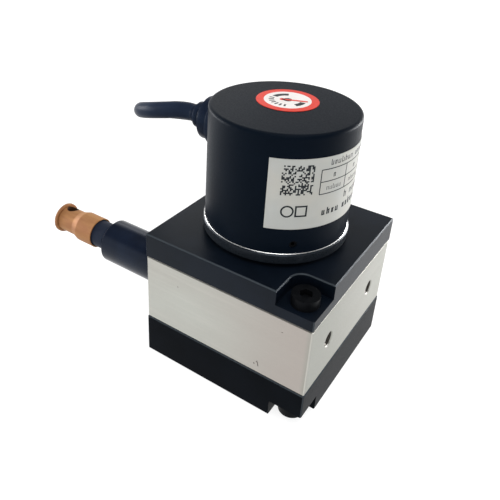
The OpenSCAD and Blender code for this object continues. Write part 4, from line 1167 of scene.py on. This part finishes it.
def studio_white(name, glow_near, near, far):
    """Paper that holds a shadow near the middle, and meets the white sky far away."""
    made = bpy.data.materials.new(name)
    tree = empty_tree(made)
    pale = add(tree, "ShaderNodeBsdfDiffuse", Color=linear("#e6e6e6"))
    shaded = add(tree, "ShaderNodeBsdfDiffuse", Color=linear("#8c8c8c"))
    place = add(tree, "ShaderNodeTexCoord")
    away = add(tree, "ShaderNodeVectorMath", {"operation": "LENGTH"},
               _0=place.outputs["Object"])
    strength = add(tree, "ShaderNodeMapRange", Value=away.outputs["Value"], From_Min=near,
                   From_Max=far, To_Min=glow_near, To_Max=1.0)
    glow = add(tree, "ShaderNodeEmission", Color=linear("#ffffff"), Strength=strength)
    both = add(tree, "ShaderNodeAddShader", _0=shaded, _1=glow)
    either = add(tree, "ShaderNodeMixShader", _0=seen(tree), _1=pale, _2=both)
    add(tree, "ShaderNodeOutputMaterial", Surface=either)
    return made


FLOOR_SIDE = 8.0
GLOW_NEAR = 0.85
FADE = (0.3, 1.5)       # metres from the middle over which the floor turns white
sheet = bmesh.new()
bmesh.ops.create_grid(sheet, x_segments=1, y_segments=1, size=FLOOR_SIDE / 2)
floor = finish_mesh("floor", sheet, studio_white("white paper floor", GLOW_NEAR, *FADE))
print("floor", FLOOR_SIDE, "m wide")

# %% Sky
bpy.context.scene.view_settings.view_transform = "Standard"
SKY_LIGHT = 0.4                     # what falls on the instrument from all round
AT_HORIZON, OVERHEAD = 1.0, 0.12    # what the eye sees of the sky
FADE_BETWEEN = (0.36, 0.64)         # sine of the height above the horizon
world = bpy.data.worlds.new("studio")
bpy.context.scene.world = world
sky = empty_tree(world)
sky_way = add(sky, "ShaderNodeTexCoord")
sky_height = add(sky, "ShaderNodeSeparateXYZ", _0=sky_way.outputs["Generated"])
fading = add(sky, "ShaderNodeMapRange", {"interpolation_type": "SMOOTHSTEP"},
             Value=sky_height.outputs[2], From_Min=FADE_BETWEEN[0],
             From_Max=FADE_BETWEEN[1], To_Min=AT_HORIZON, To_Max=OVERHEAD)
sky_strength = add(sky, "ShaderNodeMix", {"data_type": "FLOAT"}, _0=seen(sky),
                   _2=SKY_LIGHT, _3=fading)
sky_light = add(sky, "ShaderNodeBackground", Color=linear("#ffffff"),
                Strength=sky_strength)
add(sky, "ShaderNodeOutputWorld", Surface=sky_light)
print("sky from", AT_HORIZON, "at the horizon to", OVERHEAD, "overhead")

# %% [markdown]
# A wide, soft lamp overhead lights the tops. A low one at the back right lights the side
# with the mounting holes, a weak one at the back left the far edges, and a low one at the
# left draws the long highlight down the round cap. A weak one in front keeps the label
# readable, and a slim one high in front puts a thin light on the cap's rounded rim. All
# six are area lamps, because point lamps would cast hard shadows and leave small hot
# spots on the black finishes.

# %% Lamps
def soft_lamp(name, place, target, width, height, watts):
    """A rectangular lamp at a place, facing a target, in metres and watts."""
    data = bpy.data.lights.new(name, "AREA")
    data.shape = "RECTANGLE"
    data.size = width
    data.size_y = height
    data.energy = watts
    lamp = bpy.data.objects.new(name, data)
    bpy.context.scene.collection.objects.link(lamp)
    lamp.location = place
    lamp.rotation_euler = (Vector(place) - Vector(target)).to_track_quat("Z", "Y").to_euler()
    return lamp


# name, place, target, width, height, watts
soft_lamp("overhead", (0.0, 0.05, 0.9), (0, 0, 0.04), 1.1, 1.1, 5.5)
soft_lamp("back_right", (0.16, 0.3, 0.065), (0.02, 0.02, 0.025), 0.2, 0.1, 1.1)
soft_lamp("back_left", (-0.6, 0.6, 0.5), (-0.03, 0, 0.03), 0.4, 0.3, 0.45)
soft_lamp("left_strip", (-0.5, -0.08, 0.07), (0, 0, 0.05), 0.35, 0.2, 2.6)
soft_lamp("front", (-0.1, -0.8, 0.25), (0, 0, 0.03), 0.6, 0.4, 0.8)
soft_lamp("edge_strip", (0.22, -0.36, 0.8), (0, 0, 0.07), 0.5, 0.08, 1.3)
print("lamps", len(bpy.data.lights))
